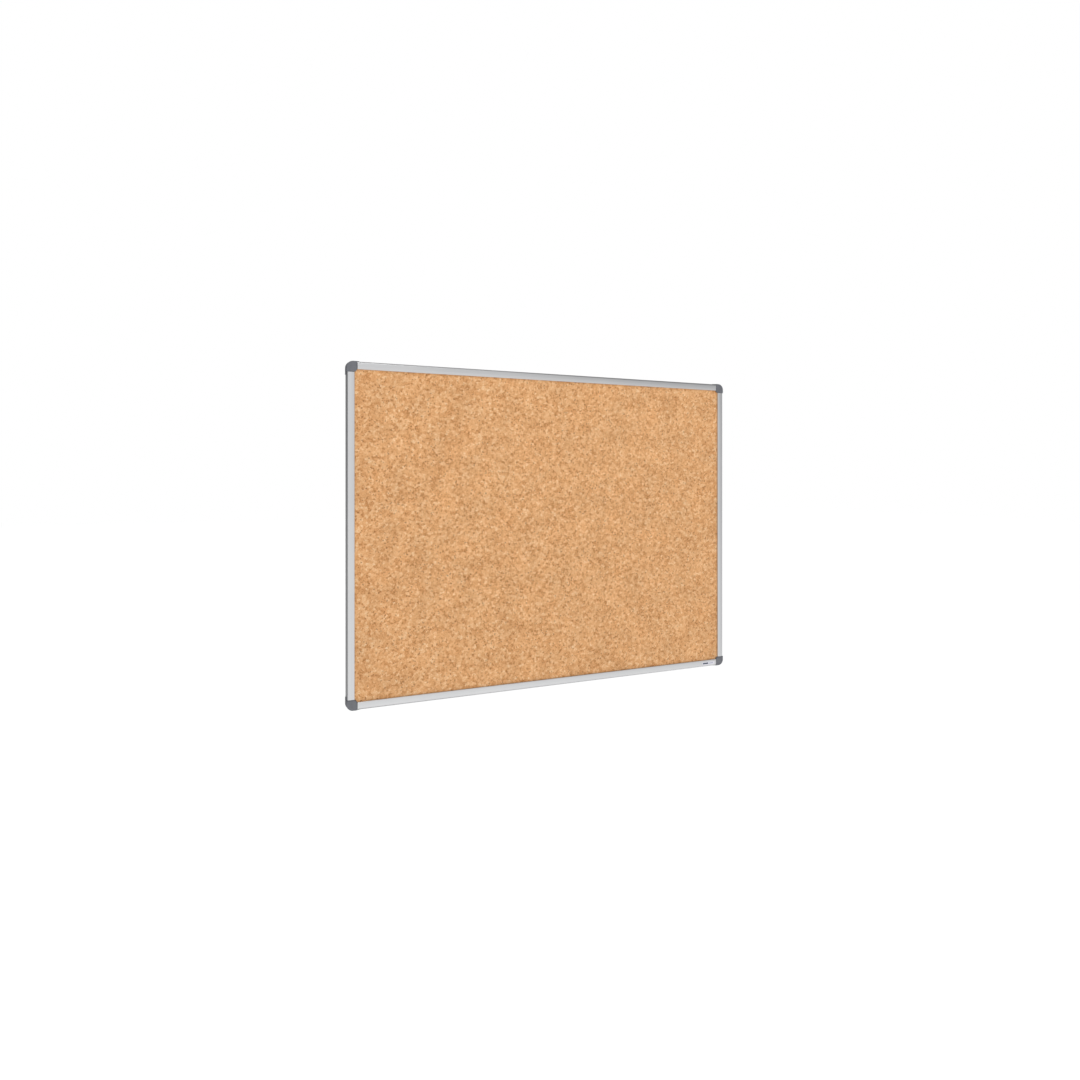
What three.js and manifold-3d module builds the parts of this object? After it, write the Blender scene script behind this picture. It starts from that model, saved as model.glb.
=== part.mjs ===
// A cork bulletin board for a wall: a bonded cork panel in an aluminium frame, joined at its
// corners by moulded plastic bodies. Each corner has a cap that swings open over a wall screw.
//
// Millimetres. +X runs to the right as seen from the front, +Z is up, and -Y points from the wall
// into the room. The origin is the centre of the board's back, in the plane of the wall.
//
// Corner pieces are modelled once, for the bottom left corner, in a frame of their own:
// a runs inwards from the board's left side, b runs inwards from its bottom side, and v runs
// from the wall to the front. The other three corners are mirrored copies.

import * as THREE from 'three';
import { mergeVertices } from 'three/addons/utils/BufferGeometryUtils.js';
import Module from 'manifold-3d';

const wasm = await Module();
wasm.setup();

// ---- Driving dimensions ----

// Overall size, across the outer sides of the corner pieces.
const BOARD_WIDTH = 1200;
const BOARD_HEIGHT = 900;

// Play between pieces that fit together, and the glue between bonded ones.
const FIT_GAP = 0.3;
const GLUE_LINE = 0.2;

// The panel: a hardboard back, a softboard core and a cork face.
const BACKING_THICKNESS = 2.5;
const CORE_THICKNESS = 5;
const CORK_THICKNESS = 3;
const CORK_RECESS = 5.3; // the cork lies this far behind the front of the rails

// The rail, an extrusion with a closed chamber along its outer side.
const RAIL_FACE = 20; // width of the front face
const RAIL_WALL = 1.5;
const CHAMBER_WIDTH = 8.5;
const REAR_FLANGE = 4.5; // reach behind the panel, beyond the chamber
const RAIL_OUTER_RADIUS = 4.5;
const RAIL_INNER_RADIUS = 1;
const CHAMBER_CHAMFER = 3; // inside the rounded outer front edge

// The corner body and its spigots, which plug into the rails' chambers.
const CORNER_SIZE = 28.5; // outer side of the board to the end of a rail
const CORNER_RADIUS = 18;
const CORNER_PROUD = 1.2; // the corner stands out from the rails' outer sides by this much
const BODY_WALL = 2;
const SKIRT_REACH = 6.5; // the side skirts overlap the rails by this much
const SPIGOT_LENGTH = 35;
const SPIGOT_WALL = 1.8;
const SPIGOT_ROOT = 1; // how deep the root of a spigot runs into the body's wall

// The boss that takes the wall screw, and its countersunk hole.
const BOSS_INSET = 13; // from both outer sides
const BOSS_RADIUS = 6;
const BOSS_HEIGHT = 7;
const WALL_SCREW_HOLE_RADIUS = 2.5;
const WALL_SCREW_SINK_RADIUS = 4.8;

// The cap, and the hinge along its edge beside the top or bottom rail.
const CAP_PROUD = 1; // the cap stands in front of the rails by this much
const CAP_WALL = 1.8;
const CAP_INNER_RADIUS = 10;
const CAP_EDGE_ROUND = 1.4;
const HINGE_WALL = 0.9; // the cap's wall where it curls round the hinge
const HINGE_LIP = 1; // that curl ends this far in front of the hinge axis
const STUB_RADIUS = 0.8;
const LUG_WIDTH = 2.2;
const EAR_WIDTH = 2;
const EAR_MARGIN = 1; // between an ear and the end of the hinge channel
const EAR_POST_EDGE = 0.2; // the post reaches this far past the hinge axis
const STUB_INSET = 0.2; // a stub ends this far short of the ear's outer face

// The countersunk screws that hold the rails on the spigots.
const SCREW_FROM_RAIL_END = 15;
const SCREW_LENGTH = 8;
const SCREW_RADIUS = 1.45;
const SCREW_HEAD_RADIUS = 2.6;
const SCREW_HEAD_RIM = 0.2;
const SCREW_POINT = 1.5;

// The label on the bottom rail.
const LABEL_LENGTH = 48;
const LABEL_HEIGHT = 9;
const LABEL_THICKNESS = 0.3;
const LABEL_CORNER = 1.5;
const LABEL_FROM_RAIL_END = 6;
const LABEL_GLUE = 0.1;

// An arc has twice this many facets, and a round rod this many sides.
const ARC_STEPS = 4;
const ROD_SIDES = 16;

// ---- Places that follow from the dimensions ----

const OVERSHOOT = 1; // a cutting solid runs past what it cuts by this much

const backingV = RAIL_WALL + FIT_GAP;
const coreV = backingV + BACKING_THICKNESS + GLUE_LINE;
const corkV = coreV + CORE_THICKNESS + GLUE_LINE;
const panelFrontV = corkV + CORK_THICKNESS;
const frameDepth = panelFrontV + CORK_RECESS;

const webOuter = 2 * RAIL_WALL + CHAMBER_WIDTH;
const panelEdge = CORNER_PROUD + webOuter + FIT_GAP; // board's side to panel's edge

const cornerReach = CORNER_SIZE - FIT_GAP;
const bodyTopV = panelFrontV;

const capTopV = frameDepth + CAP_PROUD;
const capBottomV = bodyTopV + FIT_GAP;
const hingeRadius = (capTopV - capBottomV) / 2;
const hingeV = capTopV - hingeRadius;
const hingeA = cornerReach - hingeRadius;
const channelRadius = hingeRadius - HINGE_WALL;
const channelEndB = cornerReach - CAP_INNER_RADIUS;
const earRadius = channelRadius - FIT_GAP;

// Where each hinge ear and the lug beside it start along b.
const outerEarB = CAP_WALL + EAR_MARGIN;
const innerEarB = channelEndB - EAR_MARGIN - EAR_WIDTH;
const knuckles = [
  { earB: outerEarB, lugB: outerEarB + EAR_WIDTH + FIT_GAP },
  { earB: innerEarB, lugB: innerEarB - FIT_GAP - LUG_WIDTH },
];

// The inner corners of the body and the outer ones of the panel are cut at 45 degrees, far
// enough in for the ears.
const bodyShoulder = innerEarB + EAR_WIDTH;
const panelClip = cornerReach + bodyShoulder + 2 * FIT_GAP - 2 * panelEdge;

const screwFromCorner = CORNER_SIZE + SCREW_FROM_RAIL_END;
const chamberCentre = RAIL_WALL + CHAMBER_WIDTH / 2;
const screwBackV = FIT_GAP / 2; // the head lies this far in from the wall

// ---- Materials ----

function finish(color, roughness, metalness) {
  return new THREE.MeshStandardMaterial({ color, roughness, metalness });
}

const COLOURS = {
  aluminium: [0xcdcfd1, 0.4, 0.9],
  cork: [0xd9a273, 0.95, 0],
  softboard: [0xb7a68c, 0.95, 0],
  hardboard: [0x7b5a3f, 0.85, 0],
  moulding: [0x65696f, 0.5, 0],
  screw: [0xb9bdc2, 0.35, 1],
  label: [0xdcdde8, 0.4, 0.2],
};

// ---- Solids, in the frame (a, b, v) ----

function toSolid(geometry) {
  geometry.deleteAttribute('normal');
  geometry.deleteAttribute('uv');
  const merged = mergeVertices(geometry);
  return new wasm.Manifold(new wasm.Mesh({
    numProp: 3,
    vertProperties: Float32Array.from(merged.attributes.position.array),
    triVerts: Uint32Array.from(merged.index.array),
  }));
}

function toGeometry(solid) {
  const mesh = solid.getMesh();
  const geometry = new THREE.BufferGeometry();
  geometry.setAttribute('position', new THREE.BufferAttribute(mesh.vertProperties, 3));
  geometry.setIndex(new THREE.BufferAttribute(mesh.triVerts, 1));
  geometry.computeVertexNormals();
  return geometry;
}

function box(low, high) {
  const size = high.map((value, axis) => value - low[axis]);
  const middle = high.map((value, axis) => (value + low[axis]) / 2);
  const geometry = new THREE.BoxGeometry(...size);
  geometry.translate(...middle);
  return toSolid(geometry);
}

function raised(outline, depth) {
  return new THREE.ExtrudeGeometry(outline, {
    depth, bevelEnabled: false, curveSegments: ARC_STEPS,
  });
}

// An outline in (a, b), raised along v.
function prism(outline, fromV, toV) {
  const geometry = raised(outline, toV - fromV);
  geometry.translate(0, 0, fromV);
  return toSolid(geometry);
}

// An outline in (b, v), raised along a.
function bar(outline, fromA, toA) {
  const geometry = raised(outline, toA - fromA);
  geometry.translate(0, 0, fromA);
  geometry.applyMatrix4(new THREE.Matrix4().makeBasis(
    new THREE.Vector3(0, 1, 0), new THREE.Vector3(0, 0, 1), new THREE.Vector3(1, 0, 0),
  ));
  return toSolid(geometry);
}

// A solid of revolution about a line along v. The profile is a list of [radius, v].
function turned(profile, a, b) {
  const points = profile.map(([radius, v]) => new THREE.Vector2(radius, v));
  const geometry = new THREE.LatheGeometry(points, ROD_SIDES);
  geometry.rotateX(Math.PI / 2);
  geometry.translate(a, b, 0);
  return toSolid(geometry);
}

// A round rod along b, centred on the cap's hinge axis.
function hingeRod(radius, fromB, toB) {
  const geometry = new THREE.CylinderGeometry(radius, radius, toB - fromB, ROD_SIDES);
  geometry.translate(hingeA, (fromB + toB) / 2, hingeV);
  return toSolid(geometry);
}

// The same solid with a and b exchanged, for what a corner has along both of its sides.
function exchanged(solid) {
  return solid.mirror([1, -1, 0]);
}

// Turns geometry upright: a becomes X, b becomes Z, and v becomes -Y.
function upright(geometry) {
  return geometry.rotateX(Math.PI / 2);
}

// ---- Rails and their screws ----

// The chamber's outline, or with a gap the outline of what fits in it. Here and in the rail's
// section, u runs inwards from the rail's outer side.
function chamberOutline(gap) {
  const low = RAIL_WALL + gap;
  const high = RAIL_WALL + CHAMBER_WIDTH - gap;
  const front = frameDepth - RAIL_WALL - gap;
  const chamber = new THREE.Shape();
  chamber.moveTo(low, low);
  chamber.lineTo(high, low);
  chamber.lineTo(high, front);
  chamber.lineTo(low + CHAMBER_CHAMFER, front);
  chamber.lineTo(low, front - CHAMBER_CHAMFER);
  chamber.closePath();
  return chamber;
}

function railSection() {
  const innerCentre = [RAIL_FACE - RAIL_INNER_RADIUS, frameDepth - RAIL_INNER_RADIUS];
  const outerCentre = [RAIL_OUTER_RADIUS, frameDepth - RAIL_OUTER_RADIUS];
  const lipV = panelFrontV + FIT_GAP;
  const section = new THREE.Shape();
  section.moveTo(0, 0);
  section.lineTo(webOuter + REAR_FLANGE, 0);
  section.lineTo(webOuter + REAR_FLANGE, RAIL_WALL);
  section.lineTo(webOuter, RAIL_WALL);
  section.lineTo(webOuter, frameDepth - RAIL_WALL);
  section.lineTo(RAIL_FACE - RAIL_WALL, frameDepth - RAIL_WALL);
  section.lineTo(RAIL_FACE - RAIL_WALL, lipV);
  section.lineTo(RAIL_FACE, lipV);
  section.absarc(...innerCentre, RAIL_INNER_RADIUS, 0, Math.PI / 2, false);
  section.absarc(...outerCentre, RAIL_OUTER_RADIUS, Math.PI / 2, Math.PI, false);
  section.closePath();
  section.holes.push(chamberOutline(0));
  return section;
}

// A rail screw's profile, or with a gap the profile of the hole that clears it.
function screwProfile(gap) {
  const headV = gap > 0 ? -OVERSHOOT : screwBackV;
  const rimV = screwBackV + SCREW_HEAD_RIM;
  const neckV = rimV + SCREW_HEAD_RADIUS - SCREW_RADIUS;
  const tipV = screwBackV + SCREW_LENGTH + gap;
  return [
    [0, headV],
    [SCREW_HEAD_RADIUS + gap, headV],
    [SCREW_HEAD_RADIUS + gap, rimV],
    [SCREW_RADIUS + gap, neckV],
    [SCREW_RADIUS + gap, tipV - SCREW_POINT],
    [0, tipV],
  ];
}

// A rail lies along X and is centred on it, with its outer side at z = 0.
function railGeometry(length) {
  let rail = bar(railSection(), -length / 2, length / 2);
  for (const end of [-1, 1]) {
    const along = end * (length / 2 - SCREW_FROM_RAIL_END);
    rail = rail.subtract(turned(screwProfile(FIT_GAP), along, chamberCentre));
  }
  return upright(toGeometry(rail));
}

// ---- Panel and label ----

function panelOutline() {
  const x = BOARD_WIDTH / 2 - panelEdge;
  const z = BOARD_HEIGHT / 2 - panelEdge;
  const outline = new THREE.Shape();
  outline.moveTo(panelClip - x, -z);
  outline.lineTo(x - panelClip, -z);
  outline.lineTo(x, panelClip - z);
  outline.lineTo(x, z - panelClip);
  outline.lineTo(x - panelClip, z);
  outline.lineTo(panelClip - x, z);
  outline.lineTo(-x, z - panelClip);
  outline.lineTo(-x, panelClip - z);
  outline.closePath();
  return outline;
}

function sheetGeometry(fromV, thickness) {
  return upright(toGeometry(prism(panelOutline(), fromV, fromV + thickness)));
}

function labelGeometry() {
  const x = LABEL_LENGTH / 2;
  const z = LABEL_HEIGHT / 2;
  const outline = new THREE.Shape();
  outline.absarc(x - LABEL_CORNER, z - LABEL_CORNER, LABEL_CORNER, 0, Math.PI / 2);
  outline.absarc(LABEL_CORNER - x, z - LABEL_CORNER, LABEL_CORNER, Math.PI / 2, Math.PI);
  outline.absarc(LABEL_CORNER - x, LABEL_CORNER - z, LABEL_CORNER, Math.PI, 1.5 * Math.PI);
  outline.absarc(x - LABEL_CORNER, LABEL_CORNER - z, LABEL_CORNER, 1.5 * Math.PI, 2 * Math.PI);
  outline.closePath();
  return upright(toGeometry(prism(outline, 0, LABEL_THICKNESS)));
}

// ---- Corner body ----

// The body's outline, moved inwards by inset. Its inner corner is cut off to clear the panel.
function bodyOutline(inset) {
  const far = cornerReach - inset;
  const shoulder = bodyShoulder - inset * (Math.SQRT2 - 1);
  const outline = new THREE.Shape();
  outline.moveTo(CORNER_RADIUS, inset);
  outline.lineTo(far, inset);
  outline.lineTo(far, shoulder);
  outline.lineTo(shoulder, far);
  outline.lineTo(inset, far);
  outline.absarc(
    CORNER_RADIUS, CORNER_RADIUS, CORNER_RADIUS - inset, Math.PI, 1.5 * Math.PI, false,
  );
  outline.closePath();
  return outline;
}

// A cored spigot along a. Its root stays behind the swing of the cap.
function spigot() {
  const outline = chamberOutline(FIT_GAP);
  const tipA = CORNER_SIZE + SPIGOT_LENGTH;
  const outside = bar(outline, CORNER_SIZE, tipA);
  const core = bar(
    chamberOutline(FIT_GAP + SPIGOT_WALL), CORNER_SIZE + SPIGOT_WALL, tipA + OVERSHOOT,
  );
  const belowCap = box(
    [cornerReach - SPIGOT_ROOT, 0, 0], [CORNER_SIZE + SPIGOT_ROOT, cornerReach, bodyTopV],
  );
  const root = bar(outline, cornerReach - SPIGOT_ROOT, CORNER_SIZE + SPIGOT_ROOT)
    .intersect(belowCap);
  const screwHole = turned(screwProfile(FIT_GAP), screwFromCorner, chamberCentre);
  return root.add(outside).subtract(core).subtract(screwHole)
    .translate([0, CORNER_PROUD, 0]);
}

// A thin wall along a that laps over the outer side of the rail.
function skirt() {
  return box(
    [cornerReach - BODY_WALL, 0, 0],
    [CORNER_SIZE + SKIRT_REACH, CORNER_PROUD - FIT_GAP, bodyTopV],
  );
}

function boss() {
  return turned([
    [0, 0],
    [BOSS_RADIUS, 0],
    [BOSS_RADIUS, BOSS_HEIGHT],
    [0, BOSS_HEIGHT],
  ], BOSS_INSET, BOSS_INSET);
}

function wallScrewHole() {
  const sinkV = BOSS_HEIGHT - (WALL_SCREW_SINK_RADIUS - WALL_SCREW_HOLE_RADIUS);
  return turned([
    [0, -OVERSHOOT],
    [WALL_SCREW_HOLE_RADIUS, -OVERSHOOT],
    [WALL_SCREW_HOLE_RADIUS, sinkV],
    [WALL_SCREW_SINK_RADIUS, BOSS_HEIGHT],
    [WALL_SCREW_SINK_RADIUS, BOSS_HEIGHT + OVERSHOOT],
    [0, BOSS_HEIGHT + OVERSHOOT],
  ], BOSS_INSET, BOSS_INSET);
}

// An ear that holds one of the cap's stubs, on a post braced to the wall beside the rail.
function hingeEar(fromB) {
  const toB = fromB + EAR_WIDTH;
  const nearA = hingeA - earRadius;
  const rootV = BODY_WALL / 2;
  const post = box([nearA, fromB, rootV], [hingeA + EAR_POST_EDGE, toB, hingeV]);
  const brace = box([nearA, fromB, rootV], [cornerReach - BODY_WALL / 2, toB, bodyTopV]);
  const hole = hingeRod(STUB_RADIUS + FIT_GAP, fromB - OVERSHOOT, toB + OVERSHOOT);
  return hingeRod(earRadius, fromB, toB).add(post).add(brace).subtract(hole);
}

function cornerBody() {
  let body = prism(bodyOutline(0), 0, bodyTopV)
    .subtract(prism(bodyOutline(BODY_WALL), BODY_WALL, bodyTopV + OVERSHOOT))
    .add(boss())
    .subtract(wallScrewHole());
  for (const part of [spigot(), skirt()]) {
    body = body.add(part).add(exchanged(part));
  }
  for (const { earB } of knuckles) {
    body = body.add(hingeEar(earB));
  }
  return body;
}

// ---- Corner cap ----

// The cap's outline, moved inwards by inset.
function capOutline(inset) {
  const far = cornerReach - inset;
  const outline = new THREE.Shape();
  outline.moveTo(CORNER_RADIUS, inset);
  outline.lineTo(far, inset);
  outline.absarc(
    channelEndB, channelEndB, CAP_INNER_RADIUS - inset, 0, Math.PI / 2, false,
  );
  outline.lineTo(inset, far);
  outline.absarc(
    CORNER_RADIUS, CORNER_RADIUS, CORNER_RADIUS - inset, Math.PI, 1.5 * Math.PI, false,
  );
  outline.closePath();
  return outline;
}

// The cap's outer form: rounded round its front edge, and round the hinge axis at its far side.
function capForm() {
  const startV = capBottomV - OVERSHOOT;
  const geometry = new THREE.ExtrudeGeometry(capOutline(CAP_EDGE_ROUND), {
    depth: capTopV - CAP_EDGE_ROUND - startV,
    bevelSize: CAP_EDGE_ROUND,
    bevelThickness: CAP_EDGE_ROUND,
    bevelSegments: 3,
    curveSegments: ARC_STEPS,
  });
  geometry.translate(0, 0, startV);
  const swingEdge = hingeRod(hingeRadius, -OVERSHOOT, CORNER_SIZE);
  const envelope = box(
    [-OVERSHOOT, -OVERSHOOT, capBottomV], [hingeA, CORNER_SIZE, capTopV],
  );
  return toSolid(geometry).intersect(envelope.add(swingEdge));
}

// The room inside the cap, and the channel that leaves space for the ears as the cap swings.
function capHollow() {
  const room = prism(capOutline(CAP_WALL), capBottomV - OVERSHOOT, capTopV - CAP_WALL);
  const besideHinge = box([0, 0, 0], [hingeA, CORNER_SIZE, capTopV]);
  const channel = hingeRod(channelRadius, CAP_WALL, channelEndB);
  const belowLip = box(
    [hingeA, CAP_WALL, capBottomV - OVERSHOOT],
    [CORNER_SIZE, channelEndB, hingeV + HINGE_LIP],
  );
  return room.intersect(besideHinge).add(channel).add(belowLip);
}

function cornerCap() {
  let cap = capForm().subtract(capHollow());
  for (const { earB, lugB } of knuckles) {
    const lugMiddle = lugB + LUG_WIDTH / 2;
    const stubFrom = Math.min(earB + STUB_INSET, lugMiddle);
    const stubTo = Math.max(earB + EAR_WIDTH - STUB_INSET, lugMiddle);
    cap = cap
      .add(hingeRod(hingeRadius - HINGE_WALL / 2, lugB, lugB + LUG_WIDTH))
      .add(hingeRod(STUB_RADIUS, stubFrom, stubTo));
  }
  return cap;
}

// ---- Assembly ----

const board = new THREE.Group();

function addMesh(parent, name, geometry, colour) {
  const mesh = new THREE.Mesh(geometry, finish(...COLOURS[colour]));
  mesh.name = name;
  parent.add(mesh);
  return mesh;
}

addMesh(board, 'hardboard_back', sheetGeometry(backingV, BACKING_THICKNESS), 'hardboard');
addMesh(board, 'softboard_core', sheetGeometry(coreV, CORE_THICKNESS), 'softboard');
addMesh(board, 'cork_sheet', sheetGeometry(corkV, CORK_THICKNESS), 'cork');

// Each rail is turned about Y from the bottom rail's place. Its ends are named in the order in
// which they lie along its own X.
const halfAcross = BOARD_HEIGHT / 2 - CORNER_PROUD;
const halfUpright = BOARD_WIDTH / 2 - CORNER_PROUD;
const lengthAcross = BOARD_WIDTH - 2 * CORNER_SIZE;
const lengthUpright = BOARD_HEIGHT - 2 * CORNER_SIZE;
const RAILS = [
  { side: 'bottom', turn: 0, out: halfAcross, length: lengthAcross, ends: ['left', 'right'] },
  { side: 'left', turn: 0.5, out: halfUpright, length: lengthUpright, ends: ['top', 'bottom'] },
  { side: 'top', turn: 1, out: halfAcross, length: lengthAcross, ends: ['right', 'left'] },
  { side: 'right', turn: 1.5, out: halfUpright, length: lengthUpright, ends: ['bottom', 'top'] },
];

for (const { side, turn, out, length, ends } of RAILS) {
  const group = new THREE.Group();
  group.rotation.y = turn * Math.PI;
  board.add(group);
  addMesh(group, `${side}_rail`, railGeometry(length), 'aluminium').position.z = -out;
  ends.forEach((end, index) => {
    const screw = upright(toGeometry(turned(screwProfile(0), 0, 0)));
    const mesh = addMesh(group, `${side}_rail_screw_${end}`, screw, 'screw');
    const along = length / 2 - SCREW_FROM_RAIL_END;
    mesh.position.set(index === 0 ? -along : along, 0, chamberCentre - out);
  });
}

// Each corner is the bottom left one, mirrored across and up the board where it has to be.
function mirrored(geometry, acrossX, acrossZ) {
  const copy = geometry.clone();
  copy.scale(acrossX, 1, acrossZ);
  if (acrossX * acrossZ < 0) {
    const corners = copy.index.array;
    for (let first = 0; first < corners.length; first += 3) {
      [corners[first], corners[first + 1]] = [corners[first + 1], corners[first]];
    }
  }
  return copy;
}

const bodyGeometry = upright(toGeometry(cornerBody()));
const capGeometry = upright(toGeometry(cornerCap()));
for (const [upName, inwardZ] of [['bottom', 1], ['top', -1]]) {
  for (const [sideName, inwardX] of [['left', 1], ['right', -1]]) {
    const corner = `${upName}_${sideName}`;
    const place = [-inwardX * BOARD_WIDTH / 2, 0, -inwardZ * BOARD_HEIGHT / 2];
    const body = mirrored(bodyGeometry, inwardX, inwardZ);
    const cap = mirrored(capGeometry, inwardX, inwardZ);
    addMesh(board, `${corner}_corner_body`, body, 'moulding').position.set(...place);
    addMesh(board, `${corner}_corner_cap`, cap, 'moulding').position.set(...place);
  }
}

addMesh(board, 'maker_label', labelGeometry(), 'label').position.set(
  BOARD_WIDTH / 2 - CORNER_SIZE - LABEL_FROM_RAIL_END - LABEL_LENGTH / 2,
  -frameDepth - LABEL_GLUE,
  -BOARD_HEIGHT / 2 + CORNER_PROUD + RAIL_FACE / 2,
);

export default board;
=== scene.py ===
"""A cork bulletin board: a bonded cork panel in four anodised rails, with moulded corners.

Sizes are millimetres in the classes and metres in the meshes. The board hangs upright: X runs to
its right, Z runs up it, and its back lies at Y = 0. A corner has directions of its own: a runs
inwards from the board's upright side, b inwards from its lower or upper side, and v forwards from
the wall.
"""

import logging  # noqa: E402
import math  # noqa: E402
from dataclasses import dataclass, field  # noqa: E402
from enum import Enum  # noqa: E402
from functools import partial  # noqa: E402
from typing import Any, Callable, Iterable, Sequence  # noqa: E402

import bmesh  # noqa: E402
import bpy  # noqa: E402
from mathutils import Matrix, Vector  # noqa: E402


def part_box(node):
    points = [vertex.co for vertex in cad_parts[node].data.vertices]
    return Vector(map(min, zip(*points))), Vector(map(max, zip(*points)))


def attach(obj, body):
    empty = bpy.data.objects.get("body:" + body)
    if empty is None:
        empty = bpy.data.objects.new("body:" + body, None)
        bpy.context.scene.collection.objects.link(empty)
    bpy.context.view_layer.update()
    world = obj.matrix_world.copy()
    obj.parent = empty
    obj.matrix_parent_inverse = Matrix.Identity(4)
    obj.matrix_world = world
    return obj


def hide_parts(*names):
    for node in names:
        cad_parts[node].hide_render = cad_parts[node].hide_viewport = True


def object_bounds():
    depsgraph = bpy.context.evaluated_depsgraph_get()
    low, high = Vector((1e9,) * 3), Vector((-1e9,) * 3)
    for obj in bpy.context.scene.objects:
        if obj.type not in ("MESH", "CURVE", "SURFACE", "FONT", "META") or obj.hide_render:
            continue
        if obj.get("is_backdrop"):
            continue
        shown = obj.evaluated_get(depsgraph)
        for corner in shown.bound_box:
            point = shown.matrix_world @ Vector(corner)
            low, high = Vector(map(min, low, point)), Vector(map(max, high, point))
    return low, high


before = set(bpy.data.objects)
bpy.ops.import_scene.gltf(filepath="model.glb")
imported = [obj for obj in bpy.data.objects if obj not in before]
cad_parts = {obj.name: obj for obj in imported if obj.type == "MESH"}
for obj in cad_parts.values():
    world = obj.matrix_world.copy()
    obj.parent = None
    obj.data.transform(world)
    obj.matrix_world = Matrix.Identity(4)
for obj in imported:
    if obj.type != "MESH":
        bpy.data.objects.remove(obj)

log = logging.getLogger("bulletin_board")

MM = 0.001
# How far a cutting solid runs past what it cuts, in millimetres.
OVERSHOOT = 1.0
# Points closer than this in a solid are one point, in millimetres.
WELD = 1e-4
# Radii that come to a point keep this much, so that no face vanishes, in millimetres.
LEAST_RADIUS = 0.005
# A rounded edge's middle point, as a share of its radius in from both faces.
ARC_MIDDLE = 0.3
WHITE = (1.0, 1.0, 1.0, 1.0)

Point2 = tuple[float, float]
Point3 = tuple[float, float, float]
Ring = list[Point3]


# ---- Choices ----


class Corner(Enum):
    """The board's corners: name, and the side of the centre that each lies on, in X and in Z."""

    BOTTOM_LEFT = ("bottom_left", -1, -1)
    BOTTOM_RIGHT = ("bottom_right", 1, -1)
    TOP_LEFT = ("top_left", -1, 1)
    TOP_RIGHT = ("top_right", 1, 1)

    @property
    def label(self) -> str:
        """The corner's name, as its nodes have it."""
        return self.value[0]

    @property
    def sides(self) -> tuple[int, int]:
        """The signs of X and of Z at this corner."""
        return self.value[1], self.value[2]


class Side(Enum):
    """The board's sides, by quarter turns from the bottom one."""

    BOTTOM = ("bottom", 0)
    RIGHT = ("right", 1)
    TOP = ("top", 2)
    LEFT = ("left", 3)

    @property
    def label(self) -> str:
        """The side's name, as its rail has it."""
        return self.value[0]

    @property
    def is_across(self) -> bool:
        """True if this side runs along X."""
        return self.value[1] % 2 == 0


class Grain(Enum):
    """The axis that a rail was drawn along, and so the way that its fine lines run."""

    ACROSS = "X"
    UPRIGHT = "Z"


class Cut(Enum):
    """What is done with a second solid."""

    JOIN = "UNION"
    TAKE_AWAY = "DIFFERENCE"


# ---- Nodes and colours ----


def linear(code: str) -> tuple[float, float, float, float]:
    """Turn an sRGB colour into a linear one.

    Args:
        code: Hex digits, such as "#D9A56B".

    Returns:
        Linear red, green, blue and an alpha of 1.
    """
    values = [int(code[start:start + 2], 16) / 255 for start in (1, 3, 5)]
    made = [v / 12.92 if v <= 0.04045 else ((v + 0.055) / 1.055) ** 2.4 for v in values]
    return made[0], made[1], made[2], 1.0


def per_metre(size_mm: float) -> float:
    """The texture scale at which one cell of a pattern is this many millimetres."""
    return 1 / (size_mm * MM)


def set_inputs(
    tree: bpy.types.NodeTree, node: bpy.types.Node, inputs: dict[str | int, Any],
) -> None:
    """Set a node's inputs.

    Args:
        tree: The tree that the node is in.
        node: The node.
        inputs: For each socket, by name or number, a value or the socket that feeds it.
    """
    for key, value in inputs.items():
        if isinstance(value, bpy.types.NodeSocket):
            tree.links.new(value, node.inputs[key])
        else:
            node.inputs[key].default_value = value


def add_node(
    tree: bpy.types.NodeTree,
    kind: str,
    settings: dict[str, Any] | None = None,
    inputs: dict[str | int, Any] | None = None,
) -> bpy.types.Node:
    """Add one node, with its settings, values and links.

    Args:
        tree: The tree that gets it.
        kind: The node's type, such as "ShaderNodeMix".
        settings: The node's own properties. "ramp" is a list of (place, hex colour) stops.
        inputs: For each socket, by name or number, a value or the socket that feeds it.

    Returns:
        The new node.
    """
    made = tree.nodes.new(kind)
    for name, value in (settings or {}).items():
        if name == "ramp":
            stops = made.color_ramp.elements
            while len(stops) < len(value):
                stops.new(0.5)
            for stop, (place, code) in zip(stops, value):
                stop.position = place
                stop.color = linear(code)
        else:
            setattr(made, name, value)
    set_inputs(tree, made, inputs or {})
    return made


# ---- Finishes ----


@dataclass(frozen=True)
class Finish:
    """A surface finish. Each kind fills in the colour, roughness and relief of its shader."""

    name: str

    def paint(self, tree: bpy.types.NodeTree, shader: bpy.types.Node) -> None:
        """Add this finish's nodes and link them to the shader.

        Args:
            tree: The material's node tree.
            shader: Its Principled BSDF.
        """
        raise NotImplementedError

    def material(self) -> bpy.types.Material:
        """The finish as a material, made once and then shared."""
        if self.name in bpy.data.materials:
            return bpy.data.materials[self.name]
        made = bpy.data.materials.new(self.name)
        made.use_nodes = True
        made.node_tree.nodes.clear()
        shader = add_node(made.node_tree, "ShaderNodeBsdfPrincipled")
        add_node(
            made.node_tree, "ShaderNodeOutputMaterial", inputs={"Surface": shader.outputs[0]},
        )
        self.paint(made.node_tree, shader)
        return made

    def dress(self, piece: bpy.types.Object) -> None:
        """Give a piece this finish and no other."""
        piece.data.materials.clear()
        piece.data.materials.append(self.material())


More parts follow.
